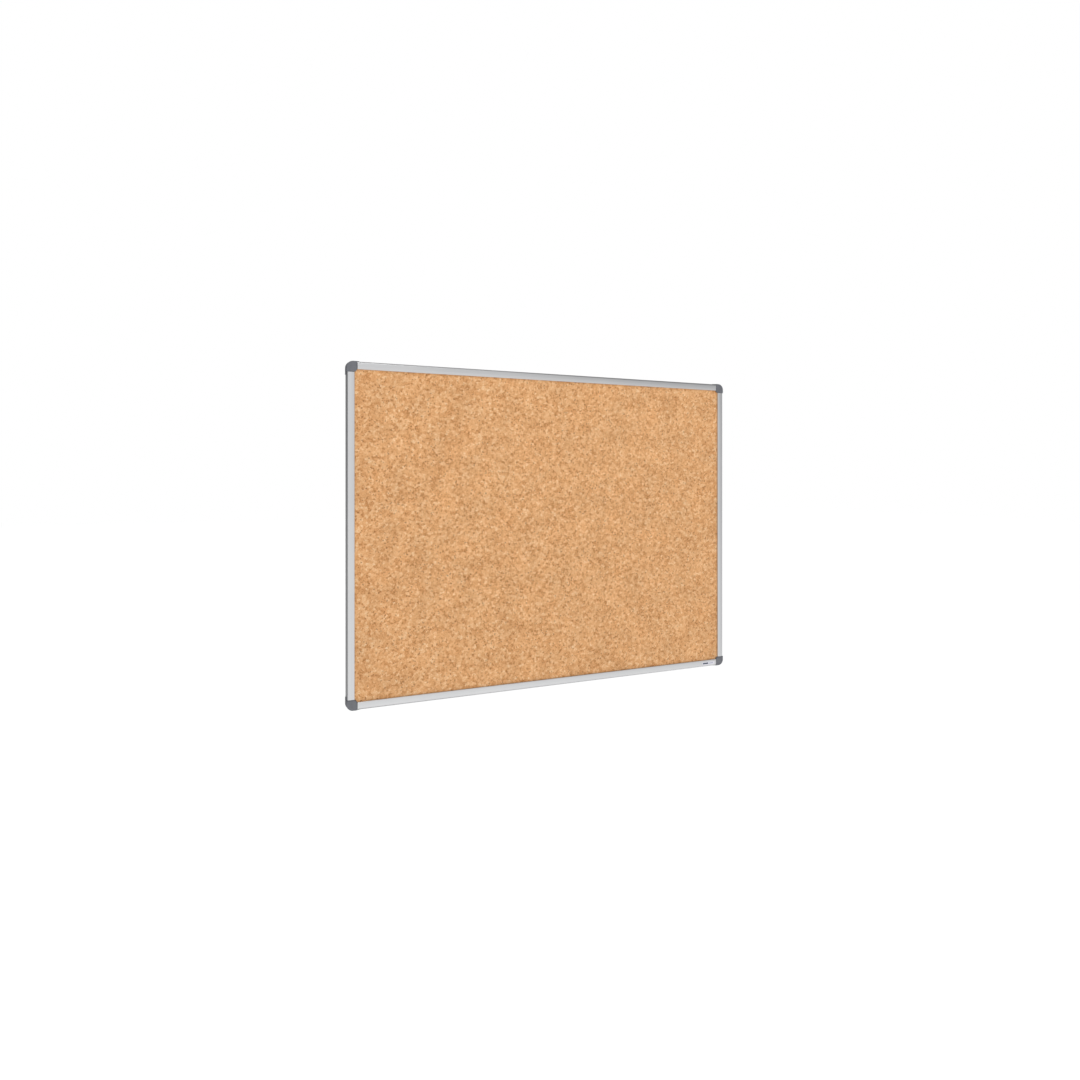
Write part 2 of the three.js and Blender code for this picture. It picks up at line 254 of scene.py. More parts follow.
@dataclass(frozen=True)
class CorkFinish(Finish):
    """Agglomerated cork: baked granules of many browns, pressed, sliced and sanded flat.

    It is matt, with a warm fleck: pale and honey granules, a few dark bits of bark, and fine pits
    where the granules meet.
    """

    name: str = "cork_agglomerate_sanded"
    granule_mm: float = 6.5
    chip_mm: float = 2.6
    bark_mm: float = 3.2
    fibre_mm: float = 0.5
    cloud_mm: float = 60.0
    wander_mm: float = 3.0
    relief_mm: float = 0.35
    relief_strength: float = 0.55
    # How much of the tone comes from the small chips, and the rest from the granules.
    chip_share: float = 0.42
    # The draw from which a chip counts as bark, fully at the second, and how dark it then is.
    bark_draws: Point2 = (0.95, 0.99)
    bark_strength: float = 0.6
    bark_colour: str = "#8E5830"
    rim_fall: float = -0.3
    rim_range: Point2 = (0.4, 1.3)
    shade_range: Point2 = (0.86, 1.16)
    pit_fall: float = -0.6
    roughness: Point2 = (0.78, 0.95)

    def paint(self, tree: bpy.types.NodeTree, shader: bpy.types.Node) -> None:
        """Add the granules, chips, bark and pits."""
        place = add_node(tree, "ShaderNodeTexCoord").outputs["Object"]
        stray = add_node(
            tree, "ShaderNodeTexNoise",
            inputs={"Vector": place, "Scale": per_metre(self.granule_mm), "Detail": 2.0},
        )
        centred = add_node(
            tree, "ShaderNodeVectorMath", {"operation": "SUBTRACT"},
            {0: stray.outputs["Color"], 1: (0.5, 0.5, 0.5)},
        )
        bent = add_node(
            tree, "ShaderNodeVectorMath", {"operation": "MULTIPLY_ADD"},
            {0: centred.outputs[0], 1: (self.wander_mm * MM,) * 3, 2: place},
        ).outputs[0]
        granule = add_node(
            tree, "ShaderNodeTexVoronoi",
            inputs={"Vector": bent, "Scale": per_metre(self.granule_mm), "Randomness": 1.0},
        )
        chip = add_node(
            tree, "ShaderNodeTexVoronoi",
            inputs={"Vector": bent, "Scale": per_metre(self.chip_mm), "Randomness": 1.0},
        )
        tones = []
        for cells in (granule, chip):
            split = add_node(tree, "ShaderNodeSeparateColor", inputs={0: cells.outputs["Color"]})
            tones.append(split.outputs[0])
        shared = add_node(
            tree, "ShaderNodeMix", {"data_type": "FLOAT"},
            {0: self.chip_share, 2: tones[0], 3: tones[1]},
        )
        browns = add_node(
            tree, "ShaderNodeValToRGB",
            {"ramp": [
                (0.0, "#B47C49"),
                (0.18, "#CD925D"),
                (0.38, "#DFA56F"),
                (0.60, "#E9B37E"),
                (0.82, "#F1C291"),
                (1.0, "#F8D5A9"),
            ]},
            {"Fac": shared.outputs[0]},
        )
        bark = add_node(
            tree, "ShaderNodeTexVoronoi",
            inputs={"Vector": bent, "Scale": per_metre(self.bark_mm), "Randomness": 1.0},
        )
        bark_split = add_node(tree, "ShaderNodeSeparateColor", inputs={0: bark.outputs["Color"]})
        is_bark = add_node(
            tree, "ShaderNodeMapRange",
            inputs={"Value": bark_split.outputs[1], "From Min": self.bark_draws[0],
                    "From Max": self.bark_draws[1], "To Min": 0.0,
                    "To Max": self.bark_strength},
        )
        with_bark = add_node(
            tree, "ShaderNodeMix", {"data_type": "RGBA"},
            {0: is_bark.outputs[0], 6: browns.outputs[0], 7: linear(self.bark_colour)},
        )
        cloud = add_node(
            tree, "ShaderNodeTexNoise",
            inputs={"Vector": place, "Scale": per_metre(self.cloud_mm), "Detail": 3.0},
        )
        fibre = add_node(
            tree, "ShaderNodeTexNoise",
            inputs={"Vector": bent, "Scale": per_metre(self.fibre_mm), "Detail": 2.0},
        )
        unevenness = add_node(
            tree, "ShaderNodeMath", {"operation": "ADD"},
            {0: cloud.outputs["Fac"], 1: fibre.outputs["Fac"]},
        )
        # Each granule darkens a little towards its rim, where the binder has soaked in.
        rim = add_node(
            tree, "ShaderNodeMath", {"operation": "MULTIPLY_ADD"},
            {0: chip.outputs["Distance"], 1: self.rim_fall, 2: unevenness.outputs[0]},
        )
        shade = add_node(
            tree, "ShaderNodeMapRange",
            inputs={"Value": rim.outputs[0], "From Min": self.rim_range[0],
                    "From Max": self.rim_range[1], "To Min": self.shade_range[0],
                    "To Max": self.shade_range[1]},
        )
        colour = add_node(
            tree, "ShaderNodeVectorMath", {"operation": "SCALE"},
            {0: with_bark.outputs[2], "Scale": shade.outputs[0]},
        )
        pits = add_node(
            tree, "ShaderNodeMath", {"operation": "MULTIPLY_ADD"},
            {0: chip.outputs["Distance"], 1: self.pit_fall, 2: tones[0]},
        )
        relief = add_node(
            tree, "ShaderNodeBump",
            inputs={"Height": pits.outputs[0], "Distance": self.relief_mm * MM,
                    "Strength": self.relief_strength},
        )
        matt = add_node(
            tree, "ShaderNodeMapRange",
            inputs={"Value": tones[1], "To Min": self.roughness[0],
                    "To Max": self.roughness[1]},
        )
        set_inputs(tree, shader, {
            "Base Color": colour.outputs[0],
            "Roughness": matt.outputs[0],
            "Normal": relief.outputs[0],
            "Specular IOR Level": 0.25,
        })


@dataclass(frozen=True)
class SoftboardFinish(Finish):
    """Low-density fibreboard: wood fibres felted and dried. It is matt, pale and hairy."""

    name: str = "softboard_fibre"
    fibre_mm: float = 1.2
    clump_mm: float = 9.0
    clump_share: float = 0.4
    relief_mm: float = 0.3

    def paint(self, tree: bpy.types.NodeTree, shader: bpy.types.Node) -> None:
        """Add the fibres and the clumps."""
        place = add_node(tree, "ShaderNodeTexCoord").outputs["Object"]
        fibre = add_node(
            tree, "ShaderNodeTexNoise",
            inputs={"Vector": place, "Scale": per_metre(self.fibre_mm), "Detail": 4.0,
                    "Distortion": 1.2},
        )
        clump = add_node(
            tree, "ShaderNodeTexNoise",
            inputs={"Vector": place, "Scale": per_metre(self.clump_mm), "Detail": 2.0},
        )
        both = add_node(
            tree, "ShaderNodeMix", {"data_type": "FLOAT"},
            {0: self.clump_share, 2: fibre.outputs["Fac"], 3: clump.outputs["Fac"]},
        )
        colour = add_node(
            tree, "ShaderNodeValToRGB",
            {"ramp": [(0.25, "#A98F68"), (0.5, "#C4AC84"), (0.75, "#DCC9A4")]},
            {"Fac": both.outputs[0]},
        )
        relief = add_node(
            tree, "ShaderNodeBump",
            inputs={"Height": both.outputs[0], "Distance": self.relief_mm * MM,
                    "Strength": 0.6},
        )
        set_inputs(tree, shader, {
            "Base Color": colour.outputs[0],
            "Normal": relief.outputs[0],
            "Roughness": 0.95,
            "Specular IOR Level": 0.15,
        })


@dataclass(frozen=True)
class HardboardFinish(Finish):
    """Wet-process hardboard, screen side out: hot-pressed brown fibre with the mesh's print in it.

    It is a mid brown that mottles softly, with a fine square weave and a dull sheen on its tops.
    """

    name: str = "hardboard_screen_back"
    mesh_mm: float = 2.2
    mottle_mm: float = 90.0
    fleck_mm: float = 1.6
    fleck_share: float = 0.74
    weave_lift: float = 0.14
    relief_mm: float = 0.25
    # In the weave's hollows, and on its tops.
    roughness: Point2 = (0.82, 0.6)

    def paint(self, tree: bpy.types.NodeTree, shader: bpy.types.Node) -> None:
        """Add the screen's print, the mottle and the flecks."""
        place = add_node(tree, "ShaderNodeTexCoord").outputs["Object"]
        waves = []
        for direction in ("X", "Z"):
            # A band wave of scale s repeats every 2 pi / (20 s).
            waves.append(add_node(
                tree, "ShaderNodeTexWave",
                {"wave_type": "BANDS", "bands_direction": direction},
                {"Vector": place, "Scale": math.pi / 10 * per_metre(self.mesh_mm),
                 "Distortion": 0.4, "Detail Scale": 2.0},
            ))
        weave = add_node(
            tree, "ShaderNodeMath", {"operation": "MULTIPLY"},
            {0: waves[0].outputs["Fac"], 1: waves[1].outputs["Fac"]},
        )
        mottle = add_node(
            tree, "ShaderNodeTexNoise",
            inputs={"Vector": place, "Scale": per_metre(self.mottle_mm), "Detail": 5.0},
        )
        fleck = add_node(
            tree, "ShaderNodeTexNoise",
            inputs={"Vector": place, "Scale": per_metre(self.fleck_mm), "Detail": 3.0},
        )
        tone = add_node(
            tree, "ShaderNodeMix", {"data_type": "FLOAT"},
            {0: self.fleck_share, 2: mottle.outputs["Fac"], 3: fleck.outputs["Fac"]},
        )
        raised = add_node(
            tree, "ShaderNodeMath", {"operation": "MULTIPLY_ADD"},
            {0: weave.outputs[0], 1: self.weave_lift, 2: tone.outputs[0]},
        )
        colour = add_node(
            tree, "ShaderNodeValToRGB",
            {"ramp": [(0.28, "#674730"), (0.54, "#835E3F"), (0.8, "#A37C56")]},
            {"Fac": raised.outputs[0]},
        )
        relief = add_node(
            tree, "ShaderNodeBump",
            inputs={"Height": weave.outputs[0], "Distance": self.relief_mm * MM,
                    "Strength": 0.7},
        )
        sheen = add_node(
            tree, "ShaderNodeMapRange",
            inputs={"Value": weave.outputs[0], "To Min": self.roughness[0],
                    "To Max": self.roughness[1]},
        )
        set_inputs(tree, shader, {
            "Base Color": colour.outputs[0],
            "Roughness": sheen.outputs[0],
            "Normal": relief.outputs[0],
            "Specular IOR Level": 0.35,
        })


@dataclass(frozen=True)
class AnodisedFinish(Finish):
    """Extruded 6063 aluminium, etched and anodised satin silver.

    The etch spreads highlights into a soft sheen. The die leaves faint straight lines along the
    rail, which catch the light unevenly.
    """

    name: str = "aluminium_satin_anodised"
    grain: Grain = Grain.ACROSS
    # Real die lines are about 0.1 mm apart. They are drawn wider, or none would show.
    line_mm: float = 0.7
    line_length_mm: float = 420.0
    cloud_mm: float = 130.0
    cloud_share: float = 0.35
    relief_mm: float = 0.02
    roughness: Point2 = (0.34, 0.46)

    def paint(self, tree: bpy.types.NodeTree, shader: bpy.types.Node) -> None:
        """Add the die lines and the slow change in tone along them."""
        place = add_node(tree, "ShaderNodeTexCoord").outputs["Object"]
        wide, long = per_metre(self.line_mm), per_metre(self.line_length_mm)
        scale = (long, wide, wide) if self.grain is Grain.ACROSS else (wide, wide, long)
        drawn = add_node(
            tree, "ShaderNodeMapping", inputs={"Vector": place, "Scale": scale},
        )
        lines = add_node(
            tree, "ShaderNodeTexNoise",
            inputs={"Vector": drawn.outputs[0], "Scale": 1.0, "Detail": 3.0, "Roughness": 0.65},
        )
        cloud = add_node(
            tree, "ShaderNodeTexNoise",
            inputs={"Vector": place, "Scale": per_metre(self.cloud_mm), "Detail": 2.0},
        )
        both = add_node(
            tree, "ShaderNodeMix", {"data_type": "FLOAT"},
            {0: self.cloud_share, 2: lines.outputs["Fac"], 3: cloud.outputs["Fac"]},
        )
        colour = add_node(
            tree, "ShaderNodeValToRGB",
            {"ramp": [(0.25, "#D3D4D6"), (0.75, "#E6E6E6")]},
            {"Fac": both.outputs[0]},
        )
        etched = add_node(
            tree, "ShaderNodeMapRange",
            inputs={"Value": both.outputs[0], "From Min": 0.3, "From Max": 0.7,
                    "To Min": self.roughness[0], "To Max": self.roughness[1]},
        )
        relief = add_node(
            tree, "ShaderNodeBump",
            inputs={"Height": lines.outputs["Fac"], "Distance": self.relief_mm * MM,
                    "Strength": 0.35},
        )
        set_inputs(tree, shader, {
            "Base Color": colour.outputs[0],
            "Roughness": etched.outputs[0],
            "Normal": relief.outputs[0],
            "Metallic": 1.0,
        })


@dataclass(frozen=True)
class MouldedFinish(Finish):
    """Injection-moulded ABS in slate grey, from a spark-eroded tool.

    The tool's fine grain breaks up reflections into a soft, slightly blue highlight.
    """

    name: str = "abs_slate_grey_spark_grain"
    # A spark grain is about 0.1 mm. It is drawn at three times that, or none would show.
    grain_mm: float = 0.3
    flow_mm: float = 14.0
    flow_share: float = 0.6
    relief_mm: float = 0.03
    roughness: Point2 = (0.33, 0.45)

    def paint(self, tree: bpy.types.NodeTree, shader: bpy.types.Node) -> None:
        """Add the tool's grain and the slow change in tone that moulding leaves."""
        place = add_node(tree, "ShaderNodeTexCoord").outputs["Object"]
        grain = add_node(
            tree, "ShaderNodeTexNoise",
            inputs={"Vector": place, "Scale": per_metre(self.grain_mm), "Detail": 3.0},
        )
        flow = add_node(
            tree, "ShaderNodeTexNoise",
            inputs={"Vector": place, "Scale": per_metre(self.flow_mm), "Detail": 2.0},
        )
        tone = add_node(
            tree, "ShaderNodeMix", {"data_type": "FLOAT"},
            {0: self.flow_share, 2: grain.outputs["Fac"], 3: flow.outputs["Fac"]},
        )
        colour = add_node(
            tree, "ShaderNodeValToRGB",
            {"ramp": [(0.3, "#65676D"), (0.5, "#6D6F75"), (0.7, "#75777D")]},
            {"Fac": tone.outputs[0]},
        )
        gloss = add_node(
            tree, "ShaderNodeMapRange",
            inputs={"Value": grain.outputs["Fac"], "From Min": 0.3, "From Max": 0.7,
                    "To Min": self.roughness[0], "To Max": self.roughness[1]},
        )
        relief = add_node(
            tree, "ShaderNodeBump",
            inputs={"Height": grain.outputs["Fac"], "Distance": self.relief_mm * MM,
                    "Strength": 0.5},
        )
        set_inputs(tree, shader, {
            "Base Color": colour.outputs[0],
            "Roughness": gloss.outputs[0],
            "Normal": relief.outputs[0],
            "IOR": 1.54,
        })


@dataclass(frozen=True)
class ScrewFinish(Finish):
    """Cold-headed steel with bright zinc plate. It is a bluish silver with a cloudy passivate."""

    name: str = "steel_bright_zinc"
    cloud_mm: float = 1.4
    roughness: Point2 = (0.22, 0.38)

    def paint(self, tree: bpy.types.NodeTree, shader: bpy.types.Node) -> None:
        """Add the passivate's clouds."""
        place = add_node(tree, "ShaderNodeTexCoord").outputs["Object"]
        cloud = add_node(
            tree, "ShaderNodeTexNoise",
            inputs={"Vector": place, "Scale": per_metre(self.cloud_mm), "Detail": 3.0},
        )
        colour = add_node(
            tree, "ShaderNodeValToRGB",
            {"ramp": [(0.35, "#B4B9C0"), (0.65, "#D2D4D2")]},
            {"Fac": cloud.outputs["Fac"]},
        )
        dulled = add_node(
            tree, "ShaderNodeMapRange",
            inputs={"Value": cloud.outputs["Fac"], "To Min": self.roughness[0],
                    "To Max": self.roughness[1]},
        )
        set_inputs(tree, shader, {
            "Base Color": colour.outputs[0],
            "Roughness": dulled.outputs[0],
            "Metallic": 1.0,
        })


@dataclass(frozen=True)
class LabelFinish(Finish):
    """Polyester foil, printed pale, with one plain dark bar and a thinner, paler line beside it.

    The foil is smooth and half gloss, and its print has a faint tooth.
    """

    name: str = "polyester_foil_label"
    centre: Point3 = (0.0, 0.0, 0.0)
    bar_centre_mm: Point2 = (-11.0, 0.2)
    bar_size_mm: Point2 = (20.0, 4.6)
    line_centre_mm: Point2 = (10.0, -0.2)
    line_size_mm: Point2 = (16.0, 2.2)
    bar_colour: str = "#434E63"
    line_colour: str = "#A4A9BC"
    tooth_mm: float = 0.25
    roughness: Point2 = (0.28, 0.4)

    def _inside(
        self, tree: bpy.types.NodeTree, away: bpy.types.Node, centre: Point2, size: Point2,
    ) -> bpy.types.NodeSocket:
        """Make a mask that is 1 inside an upright box on the label and 0 outside it.

        Args:
            tree: The material's node tree.
            away: A Separate XYZ of the place on the label, in metres from its centre.
            centre: The box's centre on the label, in millimetres.
            size: Its width and height, in millimetres.

        Returns:
            The mask's socket.
        """
        masks = []
        for socket, middle, width in ((0, centre[0], size[0]), (2, centre[1], size[1])):
            masks.append(add_node(
                tree, "ShaderNodeMath", {"operation": "COMPARE"},
                {0: away.outputs[socket], 1: middle * MM, 2: width / 2 * MM},
            ))
        return add_node(
            tree, "ShaderNodeMath", {"operation": "MULTIPLY"},
            {0: masks[0].outputs[0], 1: masks[1].outputs[0]},
        ).outputs[0]

    def paint(self, tree: bpy.types.NodeTree, shader: bpy.types.Node) -> None:
        """Add the foil, the bar and the line."""
        place = add_node(tree, "ShaderNodeTexCoord").outputs["Object"]
        away = add_node(
            tree, "ShaderNodeMapping",
            inputs={"Vector": place, "Location": tuple(-value for value in self.centre)},
        )
        split = add_node(tree, "ShaderNodeSeparateXYZ", inputs={0: away.outputs[0]})
        tooth = add_node(
            tree, "ShaderNodeTexNoise",
            inputs={"Vector": place, "Scale": per_metre(self.tooth_mm), "Detail": 2.0},
        )
        foil = add_node(
            tree, "ShaderNodeValToRGB",
            {"ramp": [(0.3, "#E3E2EC"), (0.7, "#EDECF3")]},
            {"Fac": tooth.outputs["Fac"]},
        )
        bar = self._inside(tree, split, self.bar_centre_mm, self.bar_size_mm)
        with_bar = add_node(
            tree, "ShaderNodeMix", {"data_type": "RGBA"},
            {0: bar, 6: foil.outputs[0], 7: linear(self.bar_colour)},
        )
        line = self._inside(tree, split, self.line_centre_mm, self.line_size_mm)
        with_line = add_node(
            tree, "ShaderNodeMix", {"data_type": "RGBA"},
            {0: line, 6: with_bar.outputs[2], 7: linear(self.line_colour)},
        )
        gloss = add_node(
            tree, "ShaderNodeMapRange",
            inputs={"Value": tooth.outputs["Fac"], "To Min": self.roughness[0],
                    "To Max": self.roughness[1]},
        )
        set_inputs(tree, shader, {
            "Base Color": with_line.outputs[2],
            "Roughness": gloss.outputs[0],
            "Coat Weight": 0.3,
        })


@dataclass(frozen=True)
class FloorFinish(Finish):
    """Matt white studio paint, rolled on. It glows a little, so it stays as pale as the room."""

    name: str = "studio_white_paint"
    cloud_mm: float = 800.0
    glow: float = 0.78

    def paint(self, tree: bpy.types.NodeTree, shader: bpy.types.Node) -> None:
        """Add the roller's slow change in tone."""
        place = add_node(tree, "ShaderNodeTexCoord").outputs["Object"]
        cloud = add_node(
            tree, "ShaderNodeTexNoise", inputs={"Vector": place, "Scale": per_metre(self.cloud_mm)},
        )
        colour = add_node(
            tree, "ShaderNodeValToRGB",
            {"ramp": [(0.0, "#F2F2F2"), (1.0, "#F7F7F7")]},
            {"Fac": cloud.outputs["Fac"]},
        )
        set_inputs(tree, shader, {
            "Base Color": colour.outputs[0],
            "Roughness": 0.95,
            "Specular IOR Level": 0.0,
            "Emission Color": WHITE,
            "Emission Strength": self.glow,
        })


# ---- Solids ----


def arc(centre: Point2, radius: float, start: float, end: float, steps: int) -> list[Point2]:
    """Points on an arc, with both its ends.

    Args:
        centre: The arc's centre.
        radius: Its radius.
        start: The angle that it starts at, in degrees.
        end: The angle that it ends at, in degrees.
        steps: How many chords it is drawn with.

    Returns:
        The points, from start to end.
    """
    made = []
    for step in range(steps + 1):
        angle = math.radians(start + (end - start) * step / steps)
        made.append((centre[0] + radius * math.cos(angle), centre[1] + radius * math.sin(angle)))
    return made


def circle(centre: Point2, radius: float, sides: int) -> list[Point2]:
    """The corners of an even polygon that stands for a circle."""
    return arc(centre, radius, 0, 360 - 360 / sides, sides - 1)


def new_object(name: str, data: bpy.types.ID) -> bpy.types.Object:
    """A new object with this data, linked into the scene."""
    made = bpy.data.objects.new(name, data)
    bpy.context.scene.collection.objects.link(made)
    return made


def remove_object(done: bpy.types.Object) -> None:
    """Remove an object and the mesh or curve that only it used."""
    data = done.data
    bpy.data.objects.remove(done)
    if isinstance(data, bpy.types.Mesh) and data.users == 0:
        bpy.data.meshes.remove(data)
    elif isinstance(data, bpy.types.Curve) and data.users == 0:
        bpy.data.curves.remove(data)


def evaluated_mesh(source: bpy.types.Object) -> bpy.types.Mesh:
    """The mesh that an object's modifiers make, as plain data."""
    graph = bpy.context.evaluated_depsgraph_get()
    return bpy.data.meshes.new_from_object(source.evaluated_get(graph), depsgraph=graph)


class Solid:
    """A closed shape in a corner's own directions (a, b, v), in millimetres."""

    def __init__(self, mesh: bpy.types.Mesh) -> None:
        """Take over a closed mesh, join its doubles and turn its faces outwards.

        Args:
            mesh: The mesh, which this solid then owns.
        """
        work = bmesh.new()
        work.from_mesh(mesh)
        bmesh.ops.remove_doubles(work, verts=work.verts, dist=WELD)
        bmesh.ops.recalc_face_normals(work, faces=work.faces)
        work.to_mesh(mesh)
        work.free()
        self.holder = new_object("solid", mesh)

    @classmethod
    def loft(cls, rings: Sequence[Ring]) -> "Solid":
        """A skin over rings that have the same number of points, closed at both its ends."""
        count = len(rings[0])
        points = [point for ring in rings for point in ring]
        faces = [list(range(count)), list(range(len(points) - count, len(points)))]
        for level in range(len(rings) - 1):
            for here in range(count):
                after = (here + 1) % count
                low, high = level * count, (level + 1) * count
                faces.append([low + here, low + after, high + after, high + here])
        mesh = bpy.data.meshes.new("solid")
        mesh.from_pydata(points, [], faces)
        return cls(mesh)

    @classmethod
    def raised(cls, outline: Iterable[Point2], low: float, high: float) -> "Solid":
        """An outline in (a, b), raised along v from low to high."""
        flat = list(outline)
        return cls.loft([[(a, b, v) for a, b in flat] for v in (low, high)])

    @classmethod
    def drawn(cls, outline: Iterable[Point2], start: float, end: float) -> "Solid":
        """An outline in (b, v), drawn along a from start to end."""
        flat = list(outline)
        return cls.loft([[(a, b, v) for b, v in flat] for a in (start, end)])

    @classmethod
    def stepped(
        cls, outline: Callable[[float], list[Point2]], levels: Iterable[Point2],
    ) -> "Solid":
        """Build a solid up along v from an outline that moves inwards on the way.

        Args:
            outline: Gives the outline in (a, b), moved inwards by a number of millimetres.
            levels: The inset and v of each level, from one end to the other.

        Returns:
            The solid.
        """
        return cls.loft([[(a, b, v) for a, b in outline(inset)] for inset, v in levels])

    @classmethod
    def block(cls, low: Point3, high: Point3) -> "Solid":
        """A box between two of its corners."""
        base = [(low[0], low[1]), (high[0], low[1]), (high[0], high[1]), (low[0], high[1])]
        return cls.raised(base, low[2], high[2])

    @classmethod
    def turned(cls, profile: Sequence[Point2], centre: Point2, sides: int = 48) -> "Solid":
        """A solid of revolution about a line along v.

        Args:
            profile: Radius and v of each step, from one end of the axis to the other.
            centre: The a and b of the axis.
            sides: How many flats it has round it.

        Returns:
            The solid.
        """
        return cls.loft([
            [(a, b, v) for a, b in circle(centre, max(radius, LEAST_RADIUS), sides)]
            for radius, v in profile
        ])

    @classmethod
    def rod(
        cls, radius: float, centre: Point2, start: float, end: float, edge: float = 0.0,
        sides: int = 40,
    ) -> "Solid":
        """A round rod along b.

        Args:
            radius: Its radius.
            centre: The a and v of its axis.
            start: The b that it starts at.
            end: The b that it ends at.
            edge: The chamfer round both its ends, or 0 for none.
            sides: How many flats it has round it.

        Returns:
            The solid.
        """
        steps = [(radius, start + edge), (radius, end - edge)]
        if edge:
            steps = [(radius - edge, start), *steps, (radius - edge, end)]
        return cls.loft([
            [(a, b, v) for a, v in circle(centre, size, sides)] for size, b in steps
        ])

    def worked(self, *steps: tuple[Cut, "Solid"]) -> "Solid":
        """Cut and join other solids, which are used up.

        Args:
            steps: What is done, in order, and with which solid.

        Returns:
            The result, as a new solid. This one is used up too.
        """
        for index, (cut, tool) in enumerate(steps):
            modifier = self.holder.modifiers.new(f"step_{index}", "BOOLEAN")
            modifier.operation = cut.value
            modifier.solver = "EXACT"
            modifier.object = tool.holder
        made = Solid(evaluated_mesh(self.holder))
        for used in (self, *(tool for _, tool in steps)):
            remove_object(used.holder)
        return made

    def piece(self, name: str, place: Matrix, crease: float = 32.0) -> bpy.types.Object:
        """Make a finished piece from this solid, which stays as it is.

        Args:
            name: The piece's name.
            place: The matrix from (a, b, v) in millimetres to the board in metres.
            crease: The angle, in degrees, above which an edge stays crisp.

        Returns:
            The piece, with its place in its mesh.
        """
        work = bmesh.new()
        work.from_mesh(self.holder.data)
        work.transform(place)
        if place.determinant() < 0:
            bmesh.ops.reverse_faces(work, faces=work.faces)
        for face in work.faces:
            face.smooth = True
        for edge in work.edges:
            edge.smooth = edge.calc_face_angle(math.pi) < math.radians(crease)
        mesh = bpy.data.meshes.new(name)
        work.to_mesh(mesh)
        work.free()
        made = new_object(name, mesh)
        weigh = made.modifiers.new("even_shading", "WEIGHTED_NORMAL")
        weigh.keep_sharp = True
        return made

    def discard(self) -> None:
        """Remove this solid once its pieces are made."""
        remove_object(self.holder)


def install(
    piece: bpy.types.Object, body: str, slot: str, replaced: Iterable[str], finish: Finish,
) -> bpy.types.Object:
    """Dress a piece, hang it on its body and let it stand for its CAD nodes.

    Args:
        piece: The finished mesh.
        body: The body that it moves with.
        slot: The name of the material slot, which is only logged.
        replaced: The nodes that it stands for.
        finish: What it is dressed in.

    Returns:
        The same piece.
    """
    finish.dress(piece)
    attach(piece, body)
    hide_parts(*replaced)
    log.info("%s: %d faces, in %s, on %s", piece.name, len(piece.data.polygons), slot, body)
    return piece


# ---- Node-built parts ----


def build_mesh(
    name: str, tree: bpy.types.GeometryNodeTree, values: dict[str, Any],
) -> bpy.types.Mesh:
    """Run a geometry tree once and keep what it makes as a plain mesh.

    Args:
        name: The mesh's name.
        tree: The geometry node tree.
        values: A value for each of the tree's inputs, by the input's name.

    Returns:
        The mesh.
    """
    holder = new_object(name, bpy.data.meshes.new(name))
    modifier = holder.modifiers.new(tree.name, "NODES")
    modifier.node_group = tree
    for item in tree.interface.items_tree:
        if item.item_type == "SOCKET" and item.in_out == "INPUT" and item.name in values:
            modifier[item.identifier] = values[item.name]
    made = evaluated_mesh(holder)
    made.name = name
    remove_object(holder)
    return made


def new_tree(name: str, sockets: dict[str, str]) -> bpy.types.GeometryNodeTree:
    """Start a geometry tree with named inputs and one geometry output.

    Args:
        name: The tree's name.
        sockets: For each input's name, its kind, such as "Float".

    Returns:
        The tree, with no nodes yet.
    """
    tree = bpy.data.node_groups.new(name, "GeometryNodeTree")
    tree.interface.new_socket("Geometry", in_out="OUTPUT", socket_type="NodeSocketGeometry")
    for label, kind in {"Geometry": "Geometry", **sockets}.items():
        tree.interface.new_socket(label, in_out="INPUT", socket_type=f"NodeSocket{kind}")
    return tree


def extrusion_tree() -> bpy.types.GeometryNodeTree:
    """Make the tree that fills a closed profile in (X, Y) and draws it along Z.

    Returns:
        A tree with the inputs Profile, Length and Material.
    """
    tree = new_tree(
        "drawn_section", {"Profile": "Object", "Length": "Float", "Material": "Material"},
    )
    given = add_node(tree, "NodeGroupInput").outputs
    outline = add_node(
        tree, "GeometryNodeObjectInfo", {"transform_space": "ORIGINAL"},
        {"Object": given["Profile"]},
    )
    filled = add_node(
        tree, "GeometryNodeFillCurve", {"mode": "TRIANGLES"},
        {"Curve": outline.outputs["Geometry"]},
    )
    half = add_node(
        tree, "ShaderNodeMath", {"operation": "MULTIPLY"}, {0: given["Length"], 1: -0.5},
    )
    back = add_node(tree, "ShaderNodeCombineXYZ", inputs={"Z": half.outputs[0]})
    start = add_node(
        tree, "GeometryNodeTransform",
        inputs={"Geometry": filled.outputs[0], "Translation": back.outputs[0]},
    )
    drawn = add_node(
        tree, "GeometryNodeExtrudeMesh", {"mode": "FACES"},
        {"Mesh": start.outputs[0], "Offset": (0.0, 0.0, 1.0), "Offset Scale": given["Length"],
         "Individual": False},
    )
    closing = add_node(tree, "GeometryNodeFlipFaces", inputs={"Mesh": start.outputs[0]})
    joined = add_node(tree, "GeometryNodeJoinGeometry")
    tree.links.new(drawn.outputs["Mesh"], joined.inputs[0])
    tree.links.new(closing.outputs[0], joined.inputs[0])
    welded = add_node(
        tree, "GeometryNodeMergeByDistance",
        inputs={"Geometry": joined.outputs[0], "Distance": 0.001},
    )
    plain = add_node(
        tree, "GeometryNodeRealizeInstances", inputs={"Geometry": welded.outputs[0]},
    )
    dressed = add_node(
        tree, "GeometryNodeSetMaterial",
        inputs={"Geometry": plain.outputs[0], "Material": given["Material"]},
    )
    add_node(tree, "NodeGroupOutput", inputs={"Geometry": dressed.outputs[0]})
    return tree


